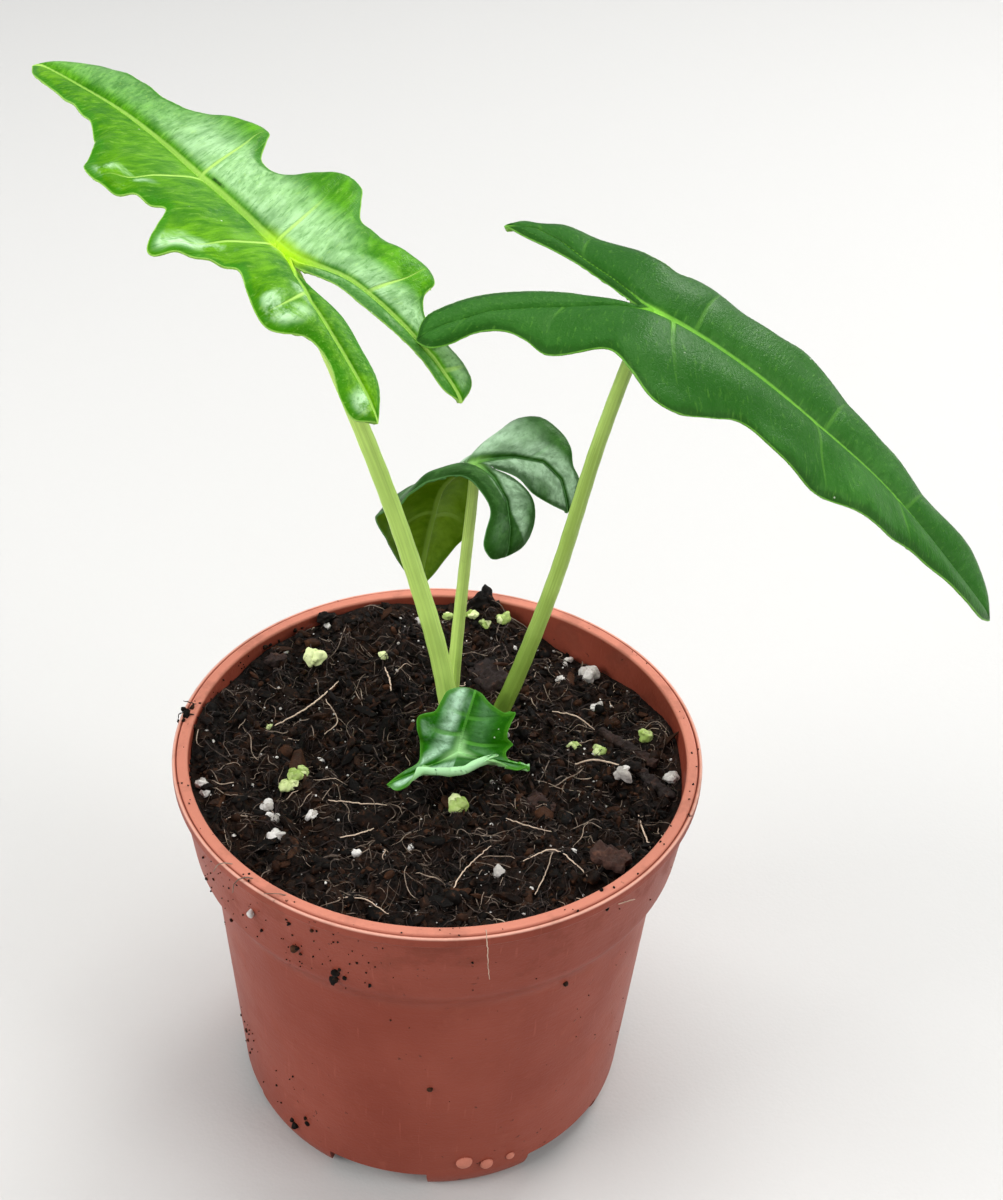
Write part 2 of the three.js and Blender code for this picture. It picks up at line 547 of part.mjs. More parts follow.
const YOUNG_LEAF = {
  joint: [4.6, -4, 101.4],
  back: [[3.4, -9.6, 99.6], [2, -15.6, 98]],
  front: [[5.5, -1.4, 105.4], [6.8, 1.4, 109.6], [7.6, 3.8, 111.8], [7.9, 6.6, 112.2]],
  across: [[0, 0.985, 0.1, 0.1], [12, 0.985, 0.1, -0.1]],
  fold: [[-13, 2], [0, 12], [8, 16], [15, 8]],
  right: {
    rearRib: [[-1.8, 17.2], [-1.3, 11], [-0.8, 5], [0, 0]],
    edge: [
      [15.6, 0, 15.6, 0], [14.2, 1.6, 13.8, 0], [12.8, 3.4, 12, 0], [12, 5.4, 10.6, 0],
      [11.5, 7.8, 9.4, 0], [12.2, 10, 8, 1], [9.6, 9.8, 6.4, 0], [7.6, 9.8, 5, 0],
      [6, 10.4, 3.8, 0], [5, 11.6, 2.6, 1], [2.8, 10.6, 1, 0], [1, 11.6, 0, 0],
      [0.4, 14.4, -1.1, 0], [-1.8, 17.2, -1.8, 0],
    ],
    notch: [
      [-10.4, 0, 0, 0], [-9.2, 4.4, -0.5, 0], [-6.6, 8, -0.9, 0], [-4.6, 12, -1.3, 0],
      [-3.4, 15.4, -1.6, 0], [-1.8, 17.2, -1.8, 0],
    ],
  },
  left: {
    rearRib: [[-12, -13.4], [-8.4, -8.6], [-3.8, -3.8], [0, 0]],
    edge: [
      [15.6, 0, 15.6, 0], [15, -2.6, 14, 0], [13.4, -4.8, 12.4, 0], [12, -6.4, 10.8, 0],
      [10, -7, 8.6, 1], [7.6, -8, 6.4, 0], [5.4, -11, 4, 1], [2, -9.8, 1, 0],
      [-2, -8.4, -2, 0], [-5.2, -8, -4.6, 0], [-8.4, -10.6, -8, 0], [-12, -13.4, -12, 0],
    ],
    notch: [
      [-10.4, 0, 0, 0], [-11.2, -3.6, -3, 0], [-12.2, -7.6, -6.4, 0], [-13.2, -11, -9.6, 0],
      [-12, -13.4, -12, 0],
    ],
  },
};

// The stalks, from inside the rootstock up to the blades' joints.
const STALKS = {
  lobed: {
    path: [
      [4, 9.6, 83], [3.1, 9.7, 93], [-0.6, 11.2, 115.4], [-6.6, 13.1, 137.6],
      [-14.6, 15.4, 162], [-27.2, 18.7, 194.2], [-34.1, 20.5, 211.4],
    ],
    radii: [2.5, 1.7],
  },
  long: {
    path: [
      [9.8, 8.9, 84], [10.7, 8.7, 93], [16.7, 8.5, 112.8], [24.1, 7.3, 142.3],
      [31.3, 5.6, 179.5], [37, 4.5, 202.6], [39.9, 4, 211.2],
    ],
    radii: [2.3, 1.4],
  },
  folded: {
    path: [
      [2.8, 14.6, 83], [2.1, 15.8, 93], [2.6, 18.2, 110], [3.8, 22.2, 130.2],
      [5.2, 26.4, 151], [5.2, 28, 158.8],
    ],
    radii: [1.7, 1.2],
  },
  young: {
    path: [[7.2, 3.6, 86], [6.6, 2.4, 94], [5.6, -1.4, 98.6], [4.6, -4, 102]],
    radii: [1.6, 1.3],
  },
};

const LEAVES = {
  lobed: { blade: LOBED_LEAF, stalk: STALKS.lobed },
  long: { blade: LONG_LEAF, stalk: STALKS.long },
  folded: { blade: FOLDED_LEAF, stalk: STALKS.folded },
  young: { blade: YOUNG_LEAF, stalk: STALKS.young },
};

// The stalk stops a hair under its blade: it is cut off square to the blade, and again by the
// blade's own underside.
function makeStalk({ blade, stalk }) {
  const sheet = new Sheet(blade);
  const [ahead, side, up] = sheet.frame(0);
  const reach = 16;
  const above = new THREE.BoxGeometry(reach, reach, reach);
  above.translate(0, 0, reach / 2 - BLADE_THICKNESS - MIDRIB_DEPTH - JOINT_GAP);
  above.applyMatrix4(new THREE.Matrix4().makeBasis(side, ahead, up));
  above.translate(...blade.joint);
  const tube = toSolid(stalkGeometry(stalk));
  const blades = toSolid(bladeGeometry(blade, BLADE_THICKNESS + JOINT_GAP));
  return largestPiece(tube.subtract(toSolid(above)).subtract(blades));
}

function rootstockGeometry(grow = 0) {
  const profile = [
    [0, CROWN_BOTTOM - grow],
    [CROWN_RADIUS * 0.5 + grow, CROWN_BOTTOM - grow],
    [CROWN_RADIUS * 0.92 + grow, CROWN_BOTTOM + 7],
    [CROWN_RADIUS + grow, CROWN_BOTTOM + 15],
    [CROWN_RADIUS * 0.9 + grow, CROWN_TOP - 6],
    [CROWN_RADIUS * 0.7 + grow, CROWN_TOP + (grow > 0 ? 30 : 0)],
    [0, CROWN_TOP + (grow > 0 ? 30 : 0)],
  ];
  const points = profile.map(([radius, height]) => new THREE.Vector2(radius, height));
  const geometry = new THREE.LatheGeometry(points, CROWN_SIDES).rotateX(Math.PI / 2);
  return geometry.translate(CROWN_X, CROWN_Y, 0);
}

function material(color, roughness) {
  return new THREE.MeshStandardMaterial({ color, roughness, metalness: 0 });
}

function addPart(group, name, geometry, surface) {
  const mesh = new THREE.Mesh(geometry, surface);
  mesh.name = name;
  group.add(mesh);
}

const plant = new THREE.Group();
addPart(plant, "pot", makePot(), material(0x96503f, 0.42));
let soil = makeSoil().subtract(toSolid(rootstockGeometry(JOINT_GAP)));
let rootstock = toSolid(rootstockGeometry());
const bladeColours = { lobed: 0x5aa014, long: 0x34742f, folded: 0x3f6b2c, young: 0x2f8a1e };
for (const [name, leaf] of Object.entries(LEAVES)) {
  rootstock = rootstock.subtract(toSolid(stalkGeometry(leaf.stalk, JOINT_GAP)));
  soil = soil.subtract(toSolid(stalkGeometry(leaf.stalk, JOINT_GAP)));
  addPart(plant, `${name}_leaf_stalk`, toGeometry(makeStalk(leaf)), material(0x96be5f, 0.4));
  addPart(plant, `${name}_leaf_blade`, bladeGeometry(leaf.blade), material(bladeColours[name], 0.38));
}
addPart(plant, "soil", toGeometry(largestPiece(soil)), material(0x2a1c16, 0.95));
addPart(plant, "rootstock", toGeometry(largestPiece(rootstock)), material(0x8a6a48, 0.8));

export default plant;
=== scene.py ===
"""A young potted alocasia: the visible surfaces of its pot, soil, stalks and leaves.

Each piece is modelled in metres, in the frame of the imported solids, and stands for one of them.
The tables are in millimetres, as the solids are. The camera looks along +Y, from above.
"""
import math

import bpy
import numpy as np
from mathutils import Euler, Matrix, Vector
from mathutils.bvhtree import BVHTree


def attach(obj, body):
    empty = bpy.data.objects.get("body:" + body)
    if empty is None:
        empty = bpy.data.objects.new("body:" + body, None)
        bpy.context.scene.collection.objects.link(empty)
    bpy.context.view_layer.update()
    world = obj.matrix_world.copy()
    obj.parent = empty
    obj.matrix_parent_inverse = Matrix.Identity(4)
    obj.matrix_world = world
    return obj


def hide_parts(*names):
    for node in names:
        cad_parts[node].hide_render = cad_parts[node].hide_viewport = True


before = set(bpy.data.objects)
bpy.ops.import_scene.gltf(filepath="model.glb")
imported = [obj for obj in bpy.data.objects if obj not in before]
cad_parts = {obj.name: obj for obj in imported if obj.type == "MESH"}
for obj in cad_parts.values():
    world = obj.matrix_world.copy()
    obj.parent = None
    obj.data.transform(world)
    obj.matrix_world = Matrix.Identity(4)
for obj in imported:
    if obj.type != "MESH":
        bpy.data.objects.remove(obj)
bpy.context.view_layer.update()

bl_info = {
    "name": "Potted Alocasia",
    "version": (1, 0, 0),
    "blender": (4, 5, 0),
    "location": "View3D > Sidebar > Plant",
    "description": "Models a young potted alocasia round its packed solids",
    "category": "Add Mesh",
}

MM = 0.001
WHOLE_TURN = 2 * math.pi
SEED = 7

# The camera as it stood for the photo: its place and directions, in metres, and its lens.
CAMERA_PLACE = (0.0127, -0.3283, 0.3870)
CAMERA_RIGHT = (0.9989, 0.0284, 0.038)
CAMERA_UP = (-0.0474, 0.5981, 0.8)
SENSOR_WIDTH = 36
LENS = 57.345
LIGHT_AIM = (0, 0.02, 0.14)

# The pot's half section: [radius, height, radius of the rounded corner].
POT_HEIGHT = 100
RIM_RADIUS = 60
INNER_RIM_RADIUS = 56.7
POT_SECTION = [
    [0, 0, 0], [20, 0, 0.6], [22.8, 6, 1], [35.3, 6, 1], [37.7, 0, 0.5], [41.9, 0, 0.5],
    [45.9, 1, 0.9], [47.3, 4.4, 3], [52.4, 71.6, 5], [54.9, 75.4, 1.2], [56.3, 77.8, 2.6],
    [58.7, 96.4, 0.6], [60, 97.2, 0.5], [60, 99.7, 0.35], [59.3, 99.7, 0.2], [59.1, 99.2, 0.1],
    [58.8, 100, 0.25], [INNER_RIM_RADIUS, 100, 0.35], [56.4, 99.3, 0.3], [55, 78.2, 4],
    [51.1, 72, 5], [46, 4.8, 3], [43.6, 1.3, 1.5], [38.6, 1.3, 0.6], [36.2, 7.3, 0.8],
    [22, 7.3, 0.8], [19.2, 1.3, 0.6], [0, 1.3, 0],
]
CORNER_STEPS = 4
NOTCH_COUNT = 6
NOTCH_FIRST_ANGLE = 257
NOTCH_WIDTH = 24
NOTCH_DEPTH = 16
CHANNEL_HEIGHT = 6
FOOT_RADIUS = 41.7
DRAIN_HOLE_RADIUS = 4
DRAIN_HOLE_FROM_MIDDLE = 29.9
DRAIN_CUTTER_HEIGHT = 12
# The half section of the block that closes the wall round a notch: [radius, height].
NOTCH_BLOCK = [[34.4, 0.7], [44.4, 0.7], [46, 1.8], [46.9, 5], [47.1, 7.3], [34.4, 7.3]]
NOTCH_BLOCK_ANGLE = 42

# Moulding pips low on the wall: [angle in degrees, height, radius].
PIPS = [[282.3, 10.6, 2], [288.9, 8.5, 1.6], [296.1, 8.9, 1.1]]
PIP_WALL_RADIUS = 47.8
PIP_FLATNESS = 0.55
FEWEST_POT_FACES = 1000

SOIL_LEVEL = 93
SOIL_RADIUS = 56
# How the soil goes down inside the wall to its floor: (radius, height).
SOIL_SIDES = ((55.1, 82), (54.4, 77), (50.8, 71.5), (45.4, 5.6), (42.4, 7.6))
BED_ROWS = 261
PERLITE_SPECKS = 420
# Crumbs outside on the wall: count, angles in degrees, heights and middle radius.
WALL_CRUMBS = (
    (80, (206, 262), (76, 97), 0.15), (22, (195, 235), (6, 30), 0.2),
    (26, (262, 345), (10, 96), 0.11), (40, (0, 360), (6, 97), 0.12),
)
LIP_CRUMBS = 46
INNER_CRUMBS = 90
BARK_THICKNESS = 2.4
# A speck of perlite on the wall: its place, radius and tone.
WALL_PERLITE = ([-37.2, -44.4, 88.8], 1.1, 0.8)

STALK_SIDES = 28
# The wing at a stalk's foot grows from this height down, over this way.
WING_TOP = 124
WING_HEIGHT = 26
# Grooves over the midrib and the side ribs: depth and width.
MIDRIB_GROOVE = (0.5, 1.1)
RIB_GROOVE = (0.16, 0.7)
# A half this wide, from its rib line to its edge, takes the whole bulge, puffs and waves.
FULL_REACH = 18
BILLOW = 0.45
# Soft heaps and hollows of the soil: [x, y, spread in x, spread in y, height].
SOIL_HEAPS = [
    [6, 12, 13, 12, 2], [-20, 53, 30, 17, 5.6], [9, 56, 8, 9, 5], [-47, 5, 12, 15, 1.6],
    [40, 20, 12, 12, -1.6], [34, 45, 14, 12, -3.6], [54, 14, 8, 9, 2.4], [-24, -40, 14, 10, 1.2],
    [-45, 33, 13, 11, 2.8], [-56, 7, 8, 16, 4.8], [-53, -24, 8, 12, 3.4],
]

# Pellets on the soil: [x, y, radius, stretch].
WHITE_PELLETS = [
    [-30, 45, 1, 1], [35, 38, 2.6, 1.1], [30, 44, 1.1, 1], [28, 35, 1.2, 1.2], [37, 25, 1.4, 1],
    [42, -2, 2.1, 1], [53.6, 0, 1.5, 1], [-27, 1, 1, 1.2], [-52, -13, 1.6, 1],
    [-51.2, -15.6, 1.2, 1], [-37, -18, 1.5, 1], [-35.4, -20.6, 1.8, 1.1], [-34, -26, 1.9, 1.2],
    [-27, -19, 1.4, 1], [15, -34, 1.1, 1], [-39, 34.5, 0.8, 1], [16.2, 44, 0.8, 1.3],
    [-7.6, 50, 1, 1], [55, 21, 1, 1], [-16, -30, 0.9, 1.3], [-4.5, -26.6, 0.8, 1],
]
GREEN_PELLETS = [
    [-32, 33, 2.2, 1.1], [-0.6, 50, 1.2, 1], [5.4, 50, 1.3, 1.3], [9, 49, 1.4, 1.2],
    [13, 51, 1.9, 1.2], [-33.2, -10, 1.8, 1], [-32.1, -7.9, 1.9, 1], [-31, -6, 1.6, 1],
    [5, -14, 2.3, 1.1], [37, 8, 1.5, 1.3], [31, 9, 1.3, 1.2], [48, 12, 1.9, 1], [-40, 10, 1.4, 1],
    [-15.3, 36, 1, 1.3],
]
# Pieces of bark on the soil: [x, y, length, width, turn in degrees].
BARK = [
    [44, 10, 18, 2.4, -43], [49, -2.4, 13, 3, -51], [10.4, 32, 10, 8, -60], [39, -29, 8.4, 6, -33],
    [23.8, -10.6, 7, 5, -46], [-41, 31, 5, 3, 20],
]

# Pale roots that lie on the soil, each through these [x, y] points, with its radius.
ROOTS = [
    [[[-38.7, 9.8], [-31.6, 15.8], [-28.3, 20.8], [-25.3, 27.2]], 0.3],
    [[[-27.8, 19.7], [-24.5, 14.1], [-27, 8.1]], 0.22],
    [[[26.1, 21.4], [31.8, 19.3], [36.2, 17.2]], 0.26],
    [[[31.4, 2.7], [35.7, 3.2], [41.3, 0.3]], 0.34],
    [[[-23.8, -15.1], [-17.2, -13.3], [-10.3, -14.1]], 0.24],
    [[[-19.7, -28], [-16.1, -25], [-13.1, -21.2]], 0.26],
    [[[4.8, -44.8], [6.3, -36.5], [8.9, -31.6], [13, -27.1]], 0.22],
    [[[20.1, -30.1], [26.4, -27.8], [31.5, -32.2], [34.3, -35.6]], 0.24],
    [[[22.8, -41.1], [25.2, -32.9], [26.4, -27.8]], 0.2],
    [[[45.6, -13.4], [46.7, -19.2], [47.9, -23.8]], 0.32],
    [[[-18.6, -45.8], [-13.2, -44.5], [-7.7, -48.4]], 0.22],
    [[[-14.8, 33.1], [-13.5, 29], [-12.6, 24.1]], 0.3],
    [[[31.5, -40.9], [37.8, -43], [44.1, -40]], 0.2], [[[16, -18], [22, -22], [27, -21]], 0.2],
]
# Strands that hang over the rim: radius, tone and [x, y, z] points.
RIM_STRANDS = [
    [0.16, 0.05, [[-53.6, 7, 96.5], [-57.8, 5.8, 100.4], [-60.1, 6, 100.1], [-60.5, 6.4, 98.2]]],
    [0.14, 0.1, [[-52.8, 11, 96.4], [-57.6, 9.6, 100.4], [-59.8, 9.8, 100.7]]],
    [0.14, 0.5, [[-38, -40, 95.6], [-41.6, -41.6, 100.3], [-43.9, -42, 100.4], [-45.2, -42, 98]]],
    [0.14, 0.4, [
        [-33.6, -44, 95], [-36.8, -45.4, 100.3], [-39.6, -46.4, 100.1], [-40.6, -46.6, 96.6],
    ]],
    [0.12, 0.5, [[-27.4, -48.6, 95.6], [-29.4, -49.8, 100.3], [-33.4, -50, 100.4]]],
    [0.1, 0.7, [
        [12.4, -54, 95], [12.8, -57.6, 100.5], [13.2, -60.4, 99.2], [13.6, -60.3, 92],
        [14, -59.2, 88],
    ]],
    [0.14, 0.1, [[52, -18, 93.6], [55.6, -19.4, 99], [56.6, -20.6, 100.5]]],
]
# Larger crumbs stuck to the outside of the pot: [angle in degrees, height, radius].
WALL_CLODS = [
    [241.4, 84.9, 0.8], [242.2, 85.6, 0.5], [250.9, 81.9, 0.8], [253.1, 80.8, 0.55],
    [250.4, 79.2, 0.9], [251.2, 79.9, 0.5], [252, 83.4, 0.45], [272.1, 40.7, 0.5],
    [305.9, 69.2, 0.6], [229.6, 7.8, 0.9], [228.4, 9.2, 0.6], [234.5, 14.4, 0.5],
    [235, 12.6, 0.55], [205.3, 23.2, 0.6], [246.6, 94.2, 0.5], [232.2, 84.5, 0.4],
    [258.7, 80.5, 0.4], [310.3, 95.6, 0.5],
]
# Clods at the back and the left of the rim: [x, y, z, radius].
CLODS = [
    [-58.2, 5.6, 100.5, 0.7], [-59.3, 7.4, 100.2, 0.55], [-57.4, 8.4, 100.2, 0.6],
    [-60.2, 5, 98.6, 0.4], [-58.6, 3.6, 100.3, 0.4], [8, 54.6, 98.6, 3], [11.4, 55.2, 97.6, 2.4],
    [4.6, 55, 97.4, 2.2], [9, 54.8, 101.4, 1.6], [-30, 46.8, 98.4, 2],
]

# The rootstock's half section, [radius, height], and where its middle stands.
CROWN_SECTION = [
    [0, 66], [5.2, 66.6], [9.7, 73], [10.5, 81], [9.5, 90], [7.6, 95.4], [4, 97], [0, 97.4],
]
CROWN_PLACE = [5.4, 11.2]

# The stalks, from inside the rootstock up to the joints: points, and the radii at both ends.
STALKS = {
    "lobed": {
        "path": [
            [4, 9.6, 83], [3.1, 9.7, 93], [-0.6, 11.2, 115.4], [-6.6, 13.1, 137.6],
            [-14.6, 15.4, 162], [-27.2, 18.7, 194.2],
        ],
        "radii": [2.45, 1.7],
    },
    "long": {
        "path": [
            [9.8, 8.9, 84], [10.7, 8.7, 93], [16.7, 8.5, 112.8], [24.1, 7.3, 142.3],
            [31.3, 5.6, 179.5], [37, 4.5, 202.6],
        ],
        "radii": [2.2, 1.35],
    },
    "folded": {
        "path": [
            [2.8, 14.6, 83], [2.1, 15.8, 93], [2.6, 18.2, 110], [3.8, 22.2, 130.2],
            [5.2, 26.4, 151],
        ],
        "radii": [1.7, 1.2],
    },
    "young": {
        "path": [[7.2, 3.6, 86], [6.6, 2.4, 94], [5.6, -1.4, 98.6]],
        "radii": [1.6, 1.3],
    },
}

# The blades. Each lies on a bent sheet: u runs along the midrib from the joint, positive to the
# tip and negative between the rear lobes, and v is the distance to the right of the midrib.
# joint, back and front are points of the midrib's line; across gives the sheet's direction to
# the right at some u, and fold how many degrees both halves rise. An edge or notch point is
# [u, v, u of its row's foot on the midrib or on rear_rib], and ribs gives the feet of the
# side ribs.
LEAVES = {
    "lobed": {
        "joint": [-34.1, 20.5, 210.8],
        "back": [[-20.6, 6.9, 208.4], [-3.9, -9.5, 194]],
        "front": [[-50.7, 38, 215.7], [-71, 60, 220.4], [-87, 76.4, 221.4], [-99.3, 89.6, 221]],
        "across": [[0, 0.72, 0.7, -0.05]],
        "fold": [[-48, 0.3], [0, 10.6]],
        "right": {
            "rear_rib": [
                [-48.5, 9.5], [-38, 9], [-30, 7.4], [-22, 5.4], [-14, 3.8], [-6, 1.8], [0, 0],
            ],
            "ribs": [30, 3.6, -20, -41.4],
            "edge": [
                [96.4, 0, 96.4], [91, 5.6, 88], [81, 10, 77], [69, 11.2, 66], [58, 10.4, 56],
                [51, 12.4, 49], [46, 17.4, 43], [41.4, 22, 37], [37, 22.4, 30], [33, 19, 26],
                [28.6, 14.6, 22], [23, 13.2, 17.6], [20, 16, 13], [18.6, 22, 9], [14.4, 26.8, 3.6],
                [9, 26.4, 0], [4, 22.6, -4], [-1, 18.8, -8], [-7, 18.4, -12], [-14, 20.8, -16],
                [-20, 21.8, -20], [-24, 19.6, -24.4], [-25.6, 15.6, -28], [-30, 13, -32],
                [-36, 14.2, -36.4], [-42, 15.4, -41.4], [-46.4, 13.4, -45.6], [-48.5, 9.5, -48.5],
            ],
            "notch": [
                [-4, -0.4, 0], [-8, 0.2, -6], [-14, 1.4, -14], [-21, 2.4, -22], [-29, 4.8, -30],
                [-37, 6.8, -38], [-45, 7.4, -45], [-48.5, 9.5, -48.5],
            ],
        },
        "left": {
            "rear_rib": [
                [-45.5, -10.4], [-36, -9.6], [-26, -9], [-18, -8.2], [-10, -5], [-5, -2], [0, 0],
            ],
            "ribs": [28, 3, -15.6, -42],
            "edge": [
                [96.4, 0, 96.4], [88, -4.4, 85], [76, -6.6, 72], [64, -9, 61], [55, -11, 52],
                [48, -14.2, 45], [43, -18.4, 40], [39, -22.4, 35], [34, -23.4, 28],
                [27.4, -21, 23], [21.6, -18.6, 18], [18.4, -17.2, 14], [14, -22, 10],
                [9.4, -26.8, 3], [5.4, -24, 0], [0, -19, -4], [-5, -16, -7.6], [-11, -18, -11],
                [-17.4, -20.2, -15.6], [-22, -18, -20], [-25, -14, -25], [-31, -13, -31],
                [-38, -15, -37], [-43, -14.8, -42], [-45.5, -10.4, -45.5],
            ],
            "notch": [
                [-4, -0.4, 0], [-9, -2.8, -6], [-15, -3.8, -12], [-22, -3, -19], [-30, -3.8, -28],
                [-38, -5, -37], [-45.5, -10.4, -45.5],
            ],
        },
    },
    "long": {
        "joint": [39.9, 4, 210.5],
        "back": [[22.4, 11.4, 210.6], [1.3, 19.6, 210.8]],
        "front": [[57.5, 3.4, 200.4], [75.2, 2.8, 186.8], [93.9, 2.2, 170.1], [118.5, 1.4, 141.5]],
        "across": [[-42, -0.46, -0.84, -0.27], [0, -0.12, -0.98, -0.16]],
        "fold": [[-42, -7], [0, 0.6], [60, 2], [86, 10], [106, 12]],
        "right": {
            "rear_rib": [
                [-43, 20.6], [-39, 16], [-31, 10.1], [-23, 7], [-15, 4.3], [-8, 1.9], [0, 0],
            ],
            "ribs": [66, 41, 4, -17, -34.6],
            "edge": [
                [105.6, 0, 105.6], [101, 3.8, 98], [92, 7, 88], [82, 9, 77], [72, 10.8, 66],
                [64, 13.8, 58], [55, 15.8, 49], [47, 17.4, 41], [38, 18.8, 33], [30, 18.4, 25],
                [22, 17.2, 16], [16, 19.6, 10], [9, 23.6, 4], [4, 24.4, 0], [0, 19.8, -4],
                [-4, 15.8, -7.6], [-9, 16.8, -11.4], [-16, 17.5, -17], [-22, 15.2, -21.6],
                [-27, 14.4, -26], [-32, 15.8, -30.4], [-36, 19.5, -34.6], [-39, 21.8, -38.6],
                [-43, 20.6, -43],
            ],
            "notch": [
                [-4, -0.6, 0], [-8, -0.9, -5], [-14, -0.4, -12], [-20, 0.5, -18],
                [-27, 2.5, -25.5], [-34, 5.6, -31.4], [-39, 9.2, -36], [-43.4, 14.4, -40],
                [-43, 20.6, -43],
            ],
        },
        "left": {
            "rear_rib": [
                [-39.4, -16.7], [-32, -17], [-26, -14.8], [-15, -8.2], [-9, -4.8], [0, 0],
            ],
            "ribs": [70, 44, 9, -20, -31],
            "edge": [
                [105.6, 0, 105.6], [103, -5, 99], [96, -8.8, 91], [86, -10.2, 80], [76, -10.8, 70],
                [66, -11.2, 60], [58, -13, 52], [51, -16, 44], [44, -18.4, 38], [36, -17.4, 31],
                [28, -16, 23], [22, -17, 16], [16, -18.8, 9], [9, -17, 3], [1, -15, -4],
                [-6, -15.4, -9.4], [-13, -18.2, -15], [-20, -19.7, -20], [-28, -20.7, -25.6],
                [-33, -20.3, -31], [-37, -18.8, -36], [-39.4, -16.7, -39.4],
            ],
            "notch": [
                [-4, -0.6, 0], [-8, -2.4, -5.6], [-14, -5.6, -12], [-20, -9.2, -18.6],
                [-27, -12, -26], [-34, -14.4, -33], [-39.4, -16.7, -39.4],
            ],
        },
    },
    "folded": {
        "joint": [5.2, 28, 158.1],
        "back": [[11.1, 21.3, 155.1], [16.4, 15.3, 148.1], [19.7, 11.5, 139.1]],
        "front": [
            [0.9, 32, 153], [-2.7, 35, 145.9], [-4.8, 36, 135.7], [-6.2, 35, 127.3],
            [-7.3, 33, 119.6],
        ],
        "across": [[0, 0.75, 0.66, 0.15]],
        "fold": [[-30, 0], [0, 5], [43, 4]],
        "right": {
            "rear_rib": [[-20, 13], [-13, 14.6], [-8, 13], [-4, 8], [0, 0]],
            "ribs": [25, 4, -6, -14.6],
            "edge": [
                [43.6, 0, 43.6], [41, 4, 38], [36, 9, 31], [30, 12.4, 25], [23, 13.6, 18],
                [15, 14.6, 10], [9, 16.6, 4], [4, 18.8, 0.6], [0, 20.4, -3], [-4, 21.3, -6],
                [-8, 20.6, -9], [-11.4, 19, -12], [-14.4, 19, -14.6], [-17.6, 16.8, -17.6],
                [-20, 13, -20],
            ],
            "notch": [
                [-4, 2.6, 0], [-8.4, 5.8, -4], [-13, 7, -8], [-16.6, 9.6, -13], [-20, 13, -20],
            ],
        },
        "left": {
            "rear_rib": [[-23.6, -5], [-18, -1.8], [-12, 0.6], [-6, 1], [0, 0]],
            "ribs": [23, 9, -15],
            "edge": [
                [43.6, 0, 43.6], [40.4, -3.4, 37], [35, -8, 31], [28, -12.8, 23], [20, -16.4, 16],
                [12, -17.4, 9], [6, -15.6, 3], [1.6, -10, 0], [-2.4, -4.6, -4], [-7, -3.6, -8],
                [-12.4, -4, -12], [-16, -7, -15], [-19.6, -9.6, -18], [-22.6, -8.8, -21.4],
                [-23.6, -5, -23.6],
            ],
            "notch": [
                [-4, 2.6, 0], [-8, 5, -6], [-14, 6.4, -12], [-19, 4.4, -18], [-22.8, 0, -21.4],
                [-23.6, -5, -23.6],
            ],
        },
    },
    "young": {
        "joint": [4.6, -4, 101.4],
        "back": [[3.4, -9.6, 99.6], [2, -15.6, 98]],
        "front": [[5.5, -1.4, 105.4], [6.8, 1.4, 109.6], [7.6, 3.8, 111.8], [7.9, 6.6, 112.2]],
        "across": [[0, 0.985, 0.1, 0.1], [12, 0.985, 0.1, -0.1]],
        "fold": [[-13, 2], [0, 12], [8, 16], [15, 8]],
        "right": {
            "rear_rib": [[-1.8, 17.2], [-1.3, 11], [-0.8, 5], [0, 0]],
            "ribs": [8, 2.6],
            "edge": [
                [15.6, 0, 15.6], [14.2, 1.6, 13.8], [12.8, 3.4, 12], [12, 5.4, 10.6],
                [11.5, 7.8, 9.4], [12.2, 10, 8], [9.6, 9.8, 6.4], [7.6, 9.8, 5], [6, 10.4, 3.8],
                [5, 11.6, 2.6], [2.8, 10.6, 1], [1, 11.6, 0], [0.4, 14.4, -1.1],
                [-1.8, 17.2, -1.8],
            ],
            "notch": [
                [-10.4, 0, 0], [-9.2, 4.4, -0.5], [-6.6, 8, -0.9], [-4.6, 12, -1.3],
                [-3.4, 15.4, -1.6], [-1.8, 17.2, -1.8],
            ],
        },
        "left": {
            "rear_rib": [[-12, -13.4], [-8.4, -8.6], [-3.8, -3.8], [0, 0]],
            "ribs": [8.6, 4],
            "edge": [
                [15.6, 0, 15.6], [15, -2.6, 14], [13.4, -4.8, 12.4], [12, -6.4, 10.8],
                [10, -7, 8.6], [7.6, -8, 6.4], [5.4, -11, 4], [2, -9.8, 1], [-2, -8.4, -2],
                [-5.2, -8, -4.6], [-8.4, -10.6, -8], [-12, -13.4, -12],
            ],
            "notch": [
                [-10.4, 0, 0], [-11.2, -3.6, -3], [-12.2, -7.6, -6.4], [-13.2, -11, -9.6],
                [-12, -13.4, -12],
            ],
        },
    },
}

LEAF_NAMES = list(LEAVES)

# How each blade is shaped out of its sheet, for the leaves in their order: bulge of each half,
# puffs between the side ribs, waves and turning down of the margin, and crumpling of the halves
# and its pace. rear_rib says how much thinner the ribs of the rear lobes are than the midrib, and
# ribs lowers the ribs underneath. roll is a margin between the rear lobes that curls upwards.
BLADE_FORMS = {
    "bulge": (1.5, 1.3, 1.1, 0.5), "puff": (0.5, 0.36, 0.45, 0.45), "wave": (1.2, 1.1, 1, 0.6),
    "turn": (1.1, 0.8, 0.6, 0.3), "turn_width": (3.4, 3, 2.6, 1.8),
    "right_crumple": (0.35, 0.3, 0.6, 0.6), "left_crumple": (1, 0.3, 0.4, 0.7),
    "pace": (0.42, 0.26, 0.5, 0.8), "rear_rib": (1.3, 3.2, 2.6, 1.3), "ribs": (1, 1, 0.3, 0.5),
    "roll_width": (0, 0, 0, 4.6), "roll_radius": (0, 0, 0, 1.7), "step": (0.7, 0.7, 0.7, 0.35),
}
LEAF_COLUMNS = 24
NOTCH_COLUMNS = 10
